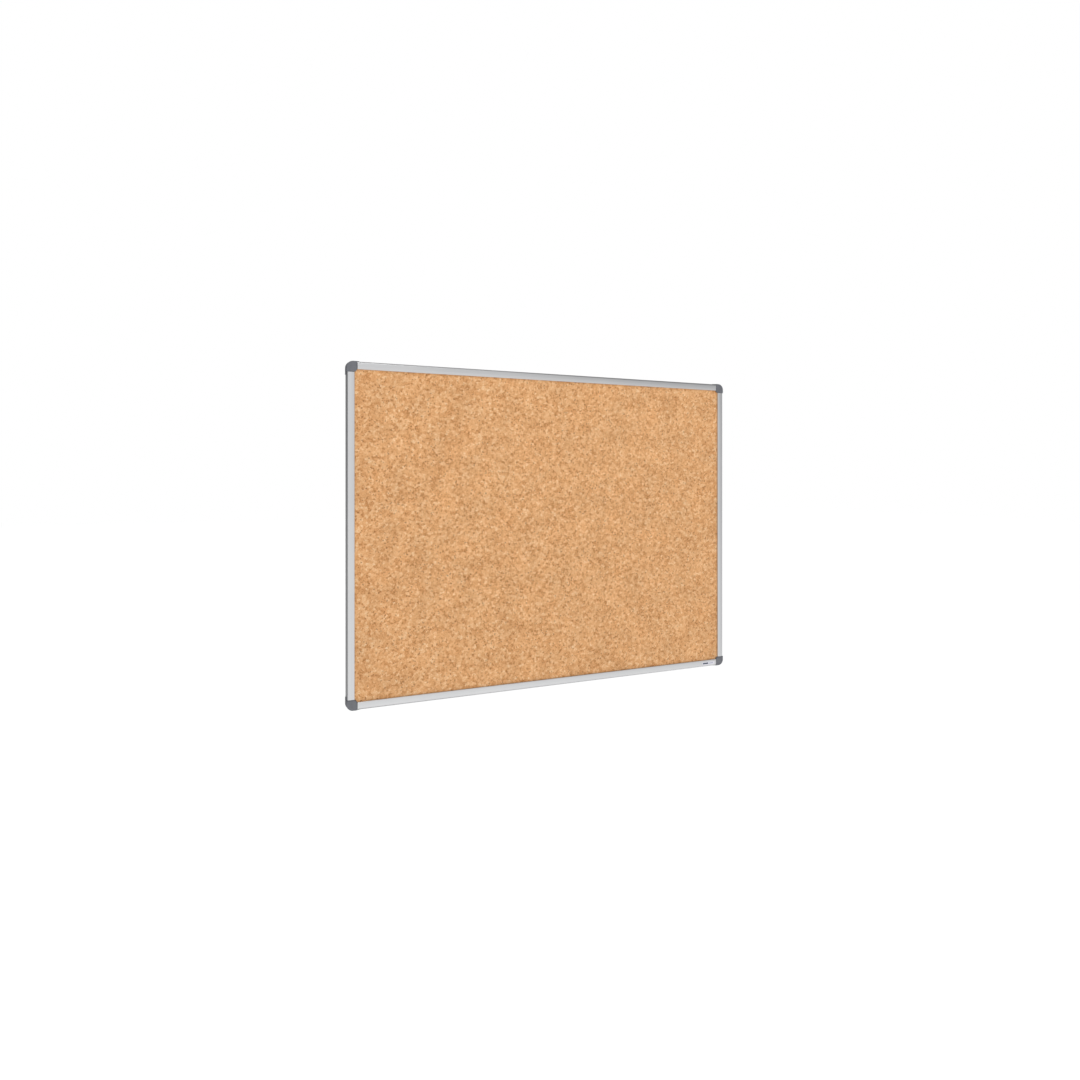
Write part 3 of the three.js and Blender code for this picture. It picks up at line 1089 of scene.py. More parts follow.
def screw_set_tree() -> bpy.types.GeometryNodeTree:
    """Make the tree that sets one screw at each point, each driven home to its own angle.

    Returns:
        A tree with the inputs Screw, Places, Seed and Material.
    """
    tree = new_tree(
        "screw_set",
        {"Screw": "Object", "Places": "Object", "Seed": "Int", "Material": "Material"},
    )
    given = add_node(tree, "NodeGroupInput").outputs
    places = add_node(
        tree, "GeometryNodeObjectInfo", {"transform_space": "ORIGINAL"},
        {"Object": given["Places"]},
    )
    screw = add_node(
        tree, "GeometryNodeObjectInfo", {"transform_space": "ORIGINAL"},
        {"Object": given["Screw"]},
    )
    angle = add_node(
        tree, "FunctionNodeRandomValue", {"data_type": "FLOAT"},
        {2: 0.0, 3: math.pi / 2, "Seed": given["Seed"]},
    )
    turn = add_node(tree, "ShaderNodeCombineXYZ", inputs={"Y": angle.outputs[1]})
    set_in = add_node(
        tree, "GeometryNodeInstanceOnPoints",
        inputs={"Points": places.outputs["Geometry"], "Instance": screw.outputs["Geometry"],
                "Rotation": turn.outputs[0]},
    )
    plain = add_node(
        tree, "GeometryNodeRealizeInstances", inputs={"Geometry": set_in.outputs[0]},
    )
    dressed = add_node(
        tree, "GeometryNodeSetMaterial",
        inputs={"Geometry": plain.outputs[0], "Material": given["Material"]},
    )
    add_node(tree, "NodeGroupOutput", inputs={"Geometry": dressed.outputs[0]})
    return tree


# ---- The board's sub-assemblies ----


@dataclass
class Layout:
    """Where things lie on the board, read from the frame once and used by every sub-assembly."""

    low: Vector
    high: Vector

    @classmethod
    def of_frame(cls) -> "Layout":
        """The layout of the frame as loaded."""
        low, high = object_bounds()
        return cls(low, high)

    def corner(self, corner: Corner) -> Matrix:
        """The matrix from a corner's own (a, b, v) in millimetres to the board in metres."""
        x, z = corner.sides
        side = self.high.x if x > 0 else self.low.x
        end = self.high.z if z > 0 else self.low.z
        return Matrix((
            (-x * MM, 0, 0, side),
            (0, 0, -MM, 0),
            (0, -z * MM, 0, end),
            (0, 0, 0, 1),
        ))

    def side(self, side: Side) -> tuple[Matrix, float]:
        """Find a rail's place and length.

        Args:
            side: The side that the rail is on.

        Returns:
            The matrix from the rail's own (u, s, v) in millimetres to the board in metres, where u
            runs inwards from its outer side and s along it, and its length in millimetres.
        """
        low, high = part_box(f"{side.label}_rail")
        size = high - low
        outer = {Side.BOTTOM: -low.z, Side.RIGHT: high.x, Side.TOP: high.z, Side.LEFT: -low.x}
        flat = Matrix((
            (0, -MM, 0, 0),
            (0, 0, -MM, 0),
            (MM, 0, 0, -outer[side]),
            (0, 0, 0, 1),
        ))
        turned = Matrix.Rotation(-math.pi / 2 * side.value[1], 4, "Y")
        return turned @ flat, (size.x if side.is_across else size.z) / MM


@dataclass
class Panel:
    """The bonded panel: hardboard at the back, a softboard core and the cork face."""

    finishes: dict[str, Finish] = field(default_factory=lambda: {
        "hardboard_back": HardboardFinish(),
        "softboard_core": SoftboardFinish(),
        "cork_sheet": CorkFinish(),
    })

    def build(self) -> None:
        """Dress the three sheets, whose shapes the frame already has."""
        for name, finish in self.finishes.items():
            finish.dress(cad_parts[name])
            log.info("%s: dressed as %s", name, finish.name)


@dataclass
class Rail:
    """One square-cut length of the extrusion, with the seats for its two screws."""

    side: Side
    face: float = 20.0
    depth: float = 18.0
    wall: float = 1.5
    chamber_width: float = 8.5
    chamber_chamfer: float = 3.0
    web_outer: float = 11.5
    rear_flange: float = 4.5
    lip_v: float = 13.0
    outer_radius: float = 4.5
    inner_radius: float = 1.0
    crown: float = 0.35
    edge_break: float = 0.25
    screw_inset: float = 15.0
    screw_u: float = 5.75
    seat_radius: float = 2.9
    seat_depth: float = 1.5
    hole_radius: float = 1.75
    hole_depth: float = 8.5
    # How many chords draw the crown, a small arc, and the outer edge.
    crown_steps: int = 12
    small_steps: int = 3
    lip_steps: int = 6
    edge_steps: int = 16
    # The face's slope where its arcs end, in degrees, so that they run into the crown.
    crown_slope_deg: float = 2.0

    def _crowned(self) -> list[Point2]:
        """The front face from the inner lip to the outer corner, faintly crowned."""
        start, end = self.face - self.inner_radius, self.outer_radius
        middle, half = (start + end) / 2, (start - end) / 2
        made = []
        for step in range(1, self.crown_steps):
            u = start + (end - start) * step / self.crown_steps
            fall = self.crown * ((u - middle) / half) ** 2
            made.append((u, self.depth - fall))
        return made

    def outline(self) -> list[Point2]:
        """The section's outside, in (u, v), anticlockwise from the back outer corner."""
        top = self.depth - self.crown
        small = self.edge_break
        flange = self.web_outer + self.rear_flange
        inner_lip = self.face - self.wall
        few, slope = self.small_steps, self.crown_slope_deg
        return [
            *arc((small, small), small, 180, 270, few),
            *arc((flange - small, small), small, 270, 360, few),
            (flange, self.wall),
            (self.web_outer, self.wall),
            (self.web_outer, self.depth - self.wall),
            (inner_lip, self.depth - self.wall),
            (inner_lip, self.lip_v),
            *arc((self.face - small, self.lip_v + small), small, 270, 360, few),
            *arc((self.face - self.inner_radius, top - self.inner_radius),
                 self.inner_radius, 0, 90 - slope, self.lip_steps),
            *self._crowned(),
            *arc((self.outer_radius, top - self.outer_radius), self.outer_radius,
                 90 + slope, 180, self.edge_steps),
        ]

    def chamber(self) -> list[Point2]:
        """The closed chamber's outline, in (u, v), which holds the corners' spigots."""
        low, high = self.wall, self.wall + self.chamber_width
        front = self.depth - self.wall
        return [
            (low, low),
            (high, low),
            (high, front),
            (low + self.chamber_chamfer, front),
            (low, front - self.chamber_chamfer),
        ]

    def profile(self) -> bpy.types.Object:
        """The whole section as a flat curve, for the tree that draws it out."""
        data = bpy.data.curves.new("rail_section", "CURVE")
        data.dimensions = "2D"
        data.fill_mode = "NONE"
        for points in (self.outline(), self.chamber()):
            spline = data.splines.new("POLY")
            spline.points.add(len(points) - 1)
            for point, (u, v) in zip(spline.points, points):
                point.co = (u, v, 0.0, 1.0)
            spline.use_cyclic_u = True
        return new_object("rail_section", data)

    def seat(self, along: float) -> Solid:
        """What is cut away for one screw's head and shank, at this place along the rail."""
        steps = [
            (self.seat_radius, -OVERSHOOT),
            (self.seat_radius, self.seat_depth - (self.seat_radius - self.hole_radius)),
            (self.hole_radius, self.seat_depth),
            (self.hole_radius, self.hole_depth),
        ]
        return Solid.turned(steps, (self.screw_u, along), sides=32)

    def build(self, layout: Layout, tree: bpy.types.GeometryNodeTree) -> bpy.types.Object:
        """Draw the section out, cut the screw seats and dress the rail.

        Args:
            layout: The board's layout.
            tree: The tree that draws a section out.

        Returns:
            The rail.
        """
        place, length = layout.side(self.side)
        grain = Grain.ACROSS if self.side.is_across else Grain.UPRIGHT
        finish = AnodisedFinish(
            name=f"aluminium_satin_anodised_{grain.name.lower()}", grain=grain,
        )
        section = self.profile()
        mesh = build_mesh("rail", tree, {
            "Profile": section, "Length": length, "Material": finish.material(),
        })
        remove_object(section)
        # The tree draws along Z and a solid has v there, so s and v change places.
        mesh.transform(Matrix(((1, 0, 0, 0), (0, 0, 1, 0), (0, 1, 0, 0), (0, 0, 0, 1))))
        reach = length / 2 - self.screw_inset
        rail = Solid(mesh).worked(
            (Cut.TAKE_AWAY, self.seat(-reach)), (Cut.TAKE_AWAY, self.seat(reach)),
        )
        piece = rail.piece(f"{self.side.label}_rail_drawn", place)
        rail.discard()
        return install(piece, "board", "aluminium", [f"{self.side.label}_rail"], finish)


@dataclass
class RailScrews:
    """The eight small countersunk screws in the backs of the rails, with cross recesses."""

    length: float = 8.0
    head_radius: float = 2.6
    head_rim: float = 0.2
    head_break: float = 0.12
    shank_radius: float = 1.25
    thread_radius: float = 1.45
    thread_pitch: float = 0.9
    # How far past its foot a ridge is at its full height, starts to fall, and has ended.
    ridge_steps: tuple[float, float, float] = (0.3, 0.4, 0.7)
    neck_length: float = 0.4
    point: float = 1.5
    recess_reach: float = 1.5
    recess_width: float = 0.5
    recess_depth: float = 1.1
    recess_lead: float = 0.1
    recess_tip: float = 0.3
    seed: int = 7

    def screw(self) -> Solid:
        """One screw: a countersunk head at v = 0 and a ridged shank running to v = length."""
        neck = self.head_rim + self.head_radius - self.shank_radius
        profile = [
            (self.head_radius - self.head_break, 0.0),
            (self.head_radius, self.head_break),
            (self.head_radius, self.head_rim),
            (self.shank_radius, neck),
        ]
        rise, level, fall = self.ridge_steps
        v = neck + self.neck_length
        while v + self.thread_pitch < self.length - self.point:
            profile += [
                (self.shank_radius, v),
                (self.thread_radius, v + rise),
                (self.thread_radius, v + level),
                (self.shank_radius, v + fall),
            ]
            v += self.thread_pitch
        profile += [(self.shank_radius, self.length - self.point), (0.0, self.length)]
        tip = self.recess_tip
        arms = []
        for along, across in ((self.recess_reach, self.recess_width),
                              (self.recess_width, self.recess_reach)):
            levels = [(along, across, -OVERSHOOT), (along, across, self.recess_lead),
                      (tip, tip, self.recess_depth)]
            arms.append(Solid.loft([
                [(-a, -b, v), (a, -b, v), (a, b, v), (-a, b, v)] for a, b, v in levels
            ]))
        return Solid.turned(profile, (0.0, 0.0), sides=32).worked(
            (Cut.TAKE_AWAY, arms[0]), (Cut.TAKE_AWAY, arms[1]),
        )

    def build(self) -> bpy.types.Object:
        """Set a screw where the frame has each of them."""
        nodes = [name for name in sorted(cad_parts) if "_rail_screw_" in name]
        centres = []
        for name in nodes:
            low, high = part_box(name)
            centres.append(((low.x + high.x) / 2, high.y, (low.z + high.z) / 2))
        places = new_object("screw_places", bpy.data.meshes.new("screw_places"))
        places.data.from_pydata(centres, [], [])
        one = self.screw()
        upright = Matrix(((MM, 0, 0, 0), (0, 0, -MM, 0), (0, MM, 0, 0), (0, 0, 0, 1)))
        sample = one.piece("rail_screw_sample", upright)
        one.discard()
        finish = ScrewFinish()
        mesh = build_mesh("rail_screws", screw_set_tree(), {
            "Screw": sample, "Places": places, "Seed": self.seed, "Material": finish.material(),
        })
        remove_object(sample)
        remove_object(places)
        piece = new_object("rail_screws", mesh)
        return install(piece, "board", "screw_steel", nodes, finish)


@dataclass
class CornerShape:
    """The sizes that a corner's body and cap share, and the hinge between them."""

    reach: float = 28.2
    outer_radius: float = 18.0
    body_top: float = 12.7
    cap_bottom: float = 13.0
    hinge_a: float = 25.2
    hinge_v: float = 16.0
    hinge_radius: float = 3.0
    stub_radius: float = 0.8
    ear_starts: tuple[float, float] = (2.8, 15.2)
    ear_width: float = 2.0
    lug_starts: tuple[float, float] = (5.1, 12.7)
    lug_width: float = 2.2

    @property
    def hinge(self) -> Point2:
        """The a and v of the cap's hinge axis."""
        return self.hinge_a, self.hinge_v

    def outer_arc(self, inset: float, steps: int = 20) -> list[Point2]:
        """The board's rounded outer corner, moved inwards by inset."""
        centre = (self.outer_radius, self.outer_radius)
        return arc(centre, self.outer_radius - inset, 180, 270, steps)


@dataclass
class CornerBody:
    """The moulded body of a corner: a tray, its wall-screw boss, two spigots and two ears."""

    shape: CornerShape
    wall: float = 2.0
    shoulder: float = 17.2
    edge_break: float = 0.4
    floor_fillet: float = 0.8
    fillet_middle: float = 0.25
    skirt_end: float = 35.0
    skirt_thickness: float = 0.9
    skirt_round: float = 2.5
    spigot_start: float = 27.2
    spigot_end: float = 63.5
    spigot_gap: float = 0.3
    spigot_wall: float = 1.8
    # The rail's cut end stands this far off the body, and its side this far in from the corner's.
    rail_gap: float = 0.3
    rail_proud: float = 1.2
    tip_length: float = 2.0
    tip_scale: Point2 = (0.86, 0.92)
    root_overlap: float = 1.0
    boss_centre: Point2 = (13.0, 13.0)
    boss_radius: float = 6.0
    boss_height: float = 7.0
    boss_break: float = 0.4
    hole_radius: float = 2.5
    sink_radius: float = 4.8
    hole_break: float = 0.3
    rib_width: float = 1.2
    rib_height: float = 5.5
    rib_overlap: float = 0.5
    ear_radius: float = 1.8
    ear_hole_radius: float = 1.1
    ear_post_edge: float = 0.2

    def outline(self, inset: float) -> list[Point2]:
        """The tray's outline in (a, b), moved inwards by inset."""
        far = self.shape.reach - inset
        shoulder = self.shoulder - inset * (math.sqrt(2) - 1)
        return [
            *self.shape.outer_arc(inset),
            (far, inset),
            (far, shoulder),
            (shoulder, far),
            (inset, far),
        ]

    def tray(self) -> Solid:
        """The tray's outside, with its back and front edges broken."""
        small = self.edge_break
        top = self.shape.body_top
        levels = [(small, 0.0), (small * ARC_MIDDLE, small * ARC_MIDDLE), (0.0, small),
                  (0.0, top - small / 2), (small / 2, top)]
        return Solid.stepped(self.outline, levels)

    def hollow(self) -> Solid:
        """The room inside the tray, with a fillet round its floor."""
        wall, fillet = self.wall, self.floor_fillet
        between = wall + self.fillet_middle
        levels = [(wall + fillet, wall), (between, between), (wall, wall + fillet),
                  (wall, self.shape.body_top + OVERSHOOT)]
        return Solid.stepped(self.outline, levels)

    def boss(self) -> Solid:
        """The boss that the wall screw pulls on."""
        radius, top, small = self.boss_radius, self.boss_height, self.boss_break
        profile = [(radius, self.wall / 2), (radius, top - small), (radius - small, top)]
        return Solid.turned(profile, self.boss_centre)

    def ribs(self) -> list[Solid]:
        """Four webs that brace the boss against the tray's walls."""
        a, b = self.boss_centre
        half, low, high = self.rib_width / 2, self.wall / 2, self.rib_height
        near, start = self.wall / 2, self.boss_radius - self.rib_overlap
        far = self.shape.reach - self.wall / 2
        return [
            Solid.block((near, b - half, low), (a - start, b + half, high)),
            Solid.block((a - half, near, low), (a + half, b - start, high)),
            Solid.block((a + start, b - half, low), (far, b + half, high)),
            Solid.block((a - half, b + start, low), (a + half, far, high)),
        ]

    def wall_hole(self) -> Solid:
        """The countersunk hole for the wall screw."""
        radius, wide, top = self.hole_radius, self.sink_radius, self.boss_height
        small = self.hole_break
        profile = [
            (radius + small, -OVERSHOOT), (radius + small, 0.0), (radius, small),
            (radius, top - (wide - radius)), (wide, top), (wide, top + OVERSHOOT),
        ]
        return Solid.turned(profile, self.boss_centre)

    def spigot_outline(self, gap: float) -> list[Point2]:
        """What fits the rail's chamber with this gap all round, in (b, v)."""
        rail = Rail(Side.BOTTOM)
        low = rail.wall + gap
        high = rail.wall + rail.chamber_width - gap
        front = rail.depth - rail.wall - gap
        chamfer = rail.chamber_chamfer
        section = [(low, low), (high, low), (high, front), (low + chamfer, front),
                   (low, front - chamfer)]
        return [(u + self.rail_proud, v) for u, v in section]

    def spigot(self) -> Solid:
        """A cored spigot along a, with a lead-in at its tip. Its root clears the cap's swing."""
        rail = Rail(Side.BOTTOM)
        outline = self.spigot_outline(self.spigot_gap)
        middle = (outline[0][0] + outline[1][0]) / 2
        half_v = rail.depth / 2
        across, deep = self.tip_scale
        tip = [(middle + (b - middle) * across, half_v + (v - half_v) * deep)
               for b, v in outline]
        foot = self.shape.reach + self.rail_gap
        rings = [[(a, b, v) for b, v in section] for a, section in (
            (foot, outline), (self.spigot_end - self.tip_length, outline),
            (self.spigot_end, tip),
        )]
        under_cap = [(b, min(v, self.shape.body_top)) for b, v in outline[:3]]
        under_cap.append((outline[4][0], self.shape.body_top))
        root = Solid.drawn(under_cap, self.spigot_start, foot + self.root_overlap)
        core = Solid.drawn(
            self.spigot_outline(self.spigot_gap + self.spigot_wall),
            foot + self.spigot_wall, self.spigot_end + OVERSHOOT,
        )
        hole = Solid.turned(
            [(rail.hole_radius, -OVERSHOOT), (rail.hole_radius, rail.hole_depth)],
            (foot + rail.screw_inset, rail.screw_u + self.rail_proud),
            sides=24,
        )
        return Solid.loft(rings).worked(
            (Cut.JOIN, root), (Cut.TAKE_AWAY, core), (Cut.TAKE_AWAY, hole),
        )

    def skirt(self) -> Solid:
        """A thin wall along a that laps the rail's outer side, with its front corner rounded."""
        top = self.shape.body_top
        end, curve = self.skirt_end, self.skirt_round
        start = self.shape.reach - self.wall
        outline = [
            (start, self.edge_break),
            (end - self.edge_break, 0.0),
            (end, self.edge_break),
            *arc((end - curve, top - curve), curve, 0, 90, 8),
            (start, top),
        ]
        return Solid.loft([
            [(a, b, v) for a, v in outline] for b in (0.0, self.skirt_thickness)
        ])

    def ear(self, start: float) -> Solid:
        """An ear for one of the cap's stubs, on a post braced to the wall beside the rail."""
        end = start + self.shape.ear_width
        a, v = self.shape.hinge
        near = a - self.ear_radius
        post = Solid.block((near, start, self.wall / 2), (a + self.ear_post_edge, end, v))
        brace = Solid.block(
            (near, start, self.wall / 2),
            (self.shape.reach - self.wall / 2, end, self.shape.body_top),
        )
        hole = Solid.rod(
            self.ear_hole_radius, self.shape.hinge, start - OVERSHOOT, end + OVERSHOOT,
        )
        return Solid.rod(self.ear_radius, self.shape.hinge, start, end).worked(
            (Cut.JOIN, post), (Cut.JOIN, brace), (Cut.TAKE_AWAY, hole),
        )

    def swapped(self, source: Solid) -> Solid:
        """The same solid with a and b exchanged, for the corner's other side."""
        mesh = source.holder.data.copy()
        mesh.transform(Matrix(((0, 1, 0, 0), (1, 0, 0, 0), (0, 0, 1, 0), (0, 0, 0, 1))))
        return Solid(mesh)

    def moulding(self) -> Solid:
        """The whole body, at the corner whose directions are (a, b, v)."""
        spigot, skirt = self.spigot(), self.skirt()
        inside = [self.boss(), *self.ribs()]
        tray = self.tray().worked(
            (Cut.TAKE_AWAY, self.hollow()), *((Cut.JOIN, part) for part in inside),
            (Cut.TAKE_AWAY, self.wall_hole()),
        )
        sides = [self.swapped(spigot), spigot, self.swapped(skirt), skirt]
        sides += [self.ear(start) for start in self.shape.ear_starts]
        return tray.worked(*((Cut.JOIN, part) for part in sides))

    def build(self, layout: Layout) -> None:
        """Make the body once and fit it at all four corners."""
        moulding = self.moulding()
        for corner in Corner:
            piece = moulding.piece(f"{corner.label}_body_moulding", layout.corner(corner))
            install(
                piece, "board", "grey_moulding", [f"{corner.label}_corner_body"], MouldedFinish(),
            )
        moulding.discard()


@dataclass
class CornerCap:
    """The snap-on cap of a corner: a domed shell that swings on two stubs."""

    shape: CornerShape
    wall: float = 1.8
    inner_radius: float = 10.0
    tip_radius: float = 0.7
    rim_break: float = 0.25
    edge_reach: float = 3.0
    edge_height: float = 2.76
    dome_height: float = 0.22
    ceiling: float = 17.2
    ceiling_fillet: float = 1.0
    channel_radius: float = 2.1
    lip: float = 1.0
    lug_radius: float = 2.55
    # A stub stays this far inside its ear's outer face, and its ends have this chamfer.
    stub_inset: float = 0.2
    stub_chamfer: float = 0.2
    # The channel's block starts this far behind the hinge's axis, so that no two faces coincide.
    channel_overlap: float = 0.01
    # The smallest radius that a corner keeps when the outline has moved inwards.
    least_corner: float = 0.03
    # The chords in the tips, the inner corner, a quarter of an edge, and the ceiling's fillet.
    tip_steps: int = 4
    inner_steps: int = 12
    steps: int = 10
    fillet_steps: int = 4
    # The skirt's levels start at this step of the quarter turn. The ones before lie in the rim.
    first_step: int = 3
    # The sizes of the dome's rings, as shares of the ring at the cap's edge.
    dome_shares: tuple[float, ...] = (0.92, 0.84, 0.74, 0.62, 0.5, 0.36, 0.2, 0.05)

    def outline(self, inset: float) -> list[Point2]:
        """The cap's outline in (a, b), moved inwards by inset."""
        far = self.shape.reach - inset
        inner = self.shape.reach - self.inner_radius
        tip = max(self.tip_radius - inset, self.least_corner)
        curve = max(self.inner_radius - inset, self.least_corner)
        return [
            *self.shape.outer_arc(inset),
            *arc((far - tip, inset + tip), tip, 270, 360, self.tip_steps),
            *arc((inner, inner), curve, 0, 90, self.inner_steps),
            *arc((inset + tip, far - tip), tip, 90, 180, self.tip_steps),
        ]

    def _clear(self, ring: Ring) -> Ring:
        """The same ring, kept within the round that lets the cap swing past the rail's end."""
        made = []
        for a, b, v in ring:
            drop = min(abs(v - self.shape.hinge_v), self.shape.hinge_radius)
            limit = self.shape.hinge_a + math.sqrt(self.shape.hinge_radius ** 2 - drop ** 2)
            made.append((min(a, limit), b, v))
        return made

    def form(self) -> Solid:
        """The cap's outside: straight walls, a round edge and a shallow dome."""
        bottom, axis = self.shape.cap_bottom, self.shape.hinge_v
        rings: list[Ring] = []

        def add(inset: float, v: float) -> None:
            """Add the outline at one level."""
            rings.append(self._clear([(a, b, v) for a, b in self.outline(inset)]))

        add(self.rim_break, bottom)
        add(0.0, bottom + self.rim_break)
        for step in range(self.first_step, self.steps):
            add(0.0, axis - self.shape.hinge_radius * math.cos(math.pi / 2 * step / self.steps))
        for step in range(self.steps + 1):
            turn = math.pi / 2 * step / self.steps
            add(self.edge_reach * (1 - math.cos(turn)), axis + self.edge_height * math.sin(turn))
        edge = self.outline(self.edge_reach)
        middle = self.shape.reach / 2
        for share in self.dome_shares:
            v = axis + self.edge_height + self.dome_height * (1 - share ** 2)
            rings.append([
                (middle + (a - middle) * share, middle + (b - middle) * share, v)
                for a, b in edge
            ])
        return Solid.loft(rings)

    def room(self) -> Solid:
        """The room under the cap, with a fillet round its ceiling."""
        top, curve = self.ceiling, self.ceiling_fillet
        levels = [(self.wall, self.shape.cap_bottom - OVERSHOOT), (self.wall, top - curve)]
        for step in range(1, self.fillet_steps + 1):
            turn = math.pi / 2 * step / self.fillet_steps
            levels.append((self.wall + curve * (1 - math.cos(turn)),
                           top - curve + curve * math.sin(turn)))
        return Solid.loft([
            [(min(a, self.shape.hinge_a), b, v) for a, b in self.outline(inset)]
            for inset, v in levels
        ])

    def moulding(self) -> Solid:
        """The whole cap, at the corner whose directions are (a, b, v)."""
        shape = self.shape
        end = shape.reach - self.inner_radius
        steps = [
            (Cut.TAKE_AWAY, self.room()),
            (Cut.TAKE_AWAY, Solid.rod(self.channel_radius, shape.hinge, self.wall, end)),
            (Cut.TAKE_AWAY, Solid.block(
                (shape.hinge_a - self.channel_overlap, self.wall, shape.cap_bottom - OVERSHOOT),
                (shape.reach + OVERSHOOT, end, shape.hinge_v + self.lip),
            )),
        ]
        for ear, lug in zip(shape.ear_starts, shape.lug_starts):
            middle = lug + shape.lug_width / 2
            start = min(ear + self.stub_inset, middle)
            stop = max(ear + shape.ear_width - self.stub_inset, middle)
            steps.append((Cut.JOIN, Solid.rod(
                self.lug_radius, shape.hinge, lug, lug + shape.lug_width,
            )))
            steps.append((Cut.JOIN, Solid.rod(
                shape.stub_radius, shape.hinge, start, stop, edge=self.stub_chamfer,
            )))
        return self.form().worked(*steps)

    def build(self, layout: Layout) -> None:
        """Make the cap once and fit it at all four corners."""
        moulding = self.moulding()
        for corner in Corner:
            piece = moulding.piece(f"{corner.label}_cap_moulding", layout.corner(corner))
            install(
                piece, f"{corner.label}_cap", "grey_moulding",
                [f"{corner.label}_corner_cap"], MouldedFinish(),
            )
        moulding.discard()


@dataclass
class MakerLabel:
    """The small foil label near the right-hand end of the bottom rail, with a plain bar on it."""

    corner_radius: float = 1.5
    edge_round: float = 0.12

    def outline(self, width: float, height: float, inset: float) -> list[Point2]:
        """A rounded box about the origin, moved inwards by inset."""
        x, z, radius = width / 2, height / 2, self.corner_radius
        made: list[Point2] = []
        for index, (right, up) in enumerate(((1, 1), (-1, 1), (-1, -1), (1, -1))):
            centre = (right * (x - radius), up * (z - radius))
            made += arc(centre, radius - inset, 90 * index, 90 * index + 90, 8)
        return made

    def build(self) -> bpy.types.Object:
        """Make the label where the frame has it."""
        low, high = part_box("maker_label")
        middle = (low + high) / 2
        width, thickness, height = (high - low) / MM
        curve = self.edge_round
        levels = [(0.0, 0.0), (0.0, thickness - curve),
                  (curve * ARC_MIDDLE, thickness - curve * ARC_MIDDLE), (curve, thickness)]
        foil = Solid.stepped(partial(self.outline, width, height), levels)
        place = Matrix((
            (MM, 0, 0, middle.x), (0, 0, -MM, high.y), (0, MM, 0, middle.z), (0, 0, 0, 1),
        ))
        piece = foil.piece("maker_label_foil", place)
        foil.discard()
        finish = LabelFinish(centre=tuple(middle))
        return install(piece, "board", "label", ["maker_label"], finish)


@dataclass(frozen=True)
class Flag:
    """A board hung in the studio to make a part of the room darker, or with a plus, brighter."""

    toward: Point3
    spread_deg: float
    change: float


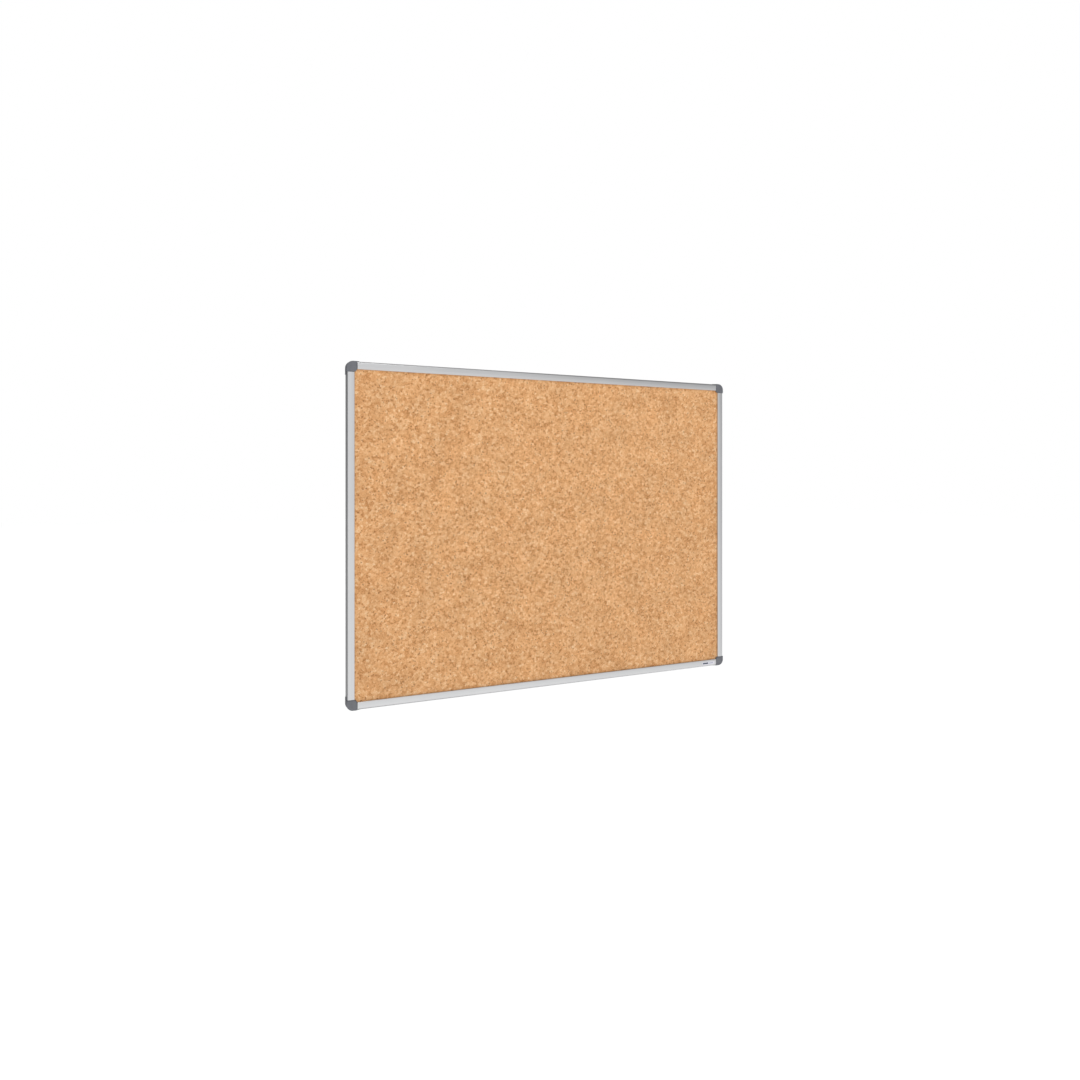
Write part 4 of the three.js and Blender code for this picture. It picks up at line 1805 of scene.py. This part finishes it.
@dataclass
class Studio:
    """The room: a pale floor, soft light from all round, a large soft lamp and the camera."""

    camera_place: Point3 = (-1.026, -2.0625, 0.145)
    camera_turn_deg: float = -25.49
    lens_mm: float = 26.43
    camera_shift: float = -0.0561
    floor_z: float = -1.45
    floor_size: float = 60.0
    lamp_place: Point3 = (-0.5, -2.6, 3.0)
    lamp_size: float = 1.6
    lamp_watts: float = 30.0
    room_level: float = 0.66
    room_front: float = 0.30
    room_down: float = 0.44
    room_least: float = 0.12
    flags: tuple[Flag, ...] = (
        Flag((-1.0, 0.0, 0.0), 65.0, -0.55),
        Flag((0.80, -0.40, 0.45), 50.0, -0.42),
        Flag((0.0, 0.05, -1.0), 58.0, -0.60),
    )

    def floor(self) -> None:
        """Lay the floor."""
        half = self.floor_size / 2
        mesh = bpy.data.meshes.new("studio_floor")
        mesh.from_pydata(
            [(-half, -half, self.floor_z), (half, -half, self.floor_z),
             (half, half, self.floor_z), (-half, half, self.floor_z)],
            [], [(0, 1, 2, 3)],
        )
        made = new_object("studio_floor", mesh)
        FloorFinish().dress(made)
        # The metal mirrors the room's own shades from below, and not the glowing floor.
        made.visible_glossy = False
        made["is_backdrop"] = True

    def room(self) -> None:
        """Light the room: brightest in front and below, dim behind the board."""
        world = bpy.data.worlds.new("studio_room")
        bpy.context.scene.world = world
        world.use_nodes = True
        tree = world.node_tree
        tree.nodes.clear()
        toward = add_node(tree, "ShaderNodeTexCoord").outputs["Generated"]
        slope = add_node(
            tree, "ShaderNodeVectorMath", {"operation": "DOT_PRODUCT"},
            {0: toward, 1: (0.0, -self.room_front, -self.room_down)},
        )
        level = add_node(
            tree, "ShaderNodeMath", {"operation": "ADD"},
            {0: slope.outputs["Value"], 1: self.room_level},
        )
        for flag in self.flags:
            near = add_node(
                tree, "ShaderNodeVectorMath", {"operation": "DOT_PRODUCT"},
                {0: toward, 1: Vector(flag.toward).normalized()},
            )
            change = add_node(
                tree, "ShaderNodeMapRange", {"interpolation_type": "SMOOTHSTEP"},
                {"Value": near.outputs["Value"],
                 "From Min": math.cos(math.radians(flag.spread_deg)), "From Max": 1.0,
                 "To Min": 0.0, "To Max": flag.change},
            )
            level = add_node(
                tree, "ShaderNodeMath", {"operation": "ADD"},
                {0: level.outputs[0], 1: change.outputs[0]},
            )
        least = add_node(
            tree, "ShaderNodeMath", {"operation": "MAXIMUM"},
            {0: level.outputs[0], 1: self.room_least},
        )
        soft = add_node(
            tree, "ShaderNodeBackground",
            inputs={"Color": WHITE, "Strength": least.outputs[0]},
        )
        white = add_node(
            tree, "ShaderNodeBackground",
            inputs={"Color": WHITE, "Strength": 1.0},
        )
        seen = add_node(tree, "ShaderNodeLightPath").outputs["Is Camera Ray"]
        mixed = add_node(
            tree, "ShaderNodeMixShader",
            inputs={0: seen, 1: soft.outputs[0], 2: white.outputs[0]},
        )
        add_node(tree, "ShaderNodeOutputWorld", inputs={"Surface": mixed.outputs[0]})

    def lamp(self) -> None:
        """Hang the large soft lamp in front of the board and above it."""
        data = bpy.data.lights.new("studio_softbox", "AREA")
        data.shape = "SQUARE"
        data.size = self.lamp_size
        data.energy = self.lamp_watts
        made = new_object("studio_softbox", data)
        made.location = self.lamp_place
        made.rotation_euler = (-Vector(self.lamp_place)).to_track_quat("-Z", "Y").to_euler()

    def camera(self) -> None:
        """Stand the camera to the left of the board, level, and turned towards it."""
        data = bpy.data.cameras.new("studio_camera")
        data.lens = self.lens_mm
        data.shift_y = self.camera_shift
        made = new_object("studio_camera", data)
        made.location = self.camera_place
        made.rotation_euler = (math.pi / 2, 0.0, math.radians(self.camera_turn_deg))
        bpy.context.scene.camera = made

    def build(self) -> None:
        """Set up the room, and show colours as they are."""
        self.camera()
        self.floor()
        self.room()
        self.lamp()
        bpy.context.scene.view_settings.view_transform = "Standard"
        log.info("studio: camera %.0f mm, lamp %.0f W", self.lens_mm, self.lamp_watts)


def main() -> None:
    """Build the board from the panel outwards, and then the room round it."""
    logging.basicConfig(level=logging.INFO, format="%(name)s: %(message)s")
    layout = Layout.of_frame()
    Studio().build()
    Panel().build()
    tree = extrusion_tree()
    for side in Side:
        Rail(side).build(layout, tree)
    RailScrews().build()
    shape = CornerShape()
    CornerBody(shape).build(layout)
    CornerCap(shape).build(layout)
    MakerLabel().build()


if __name__ == "__main__":
    main()
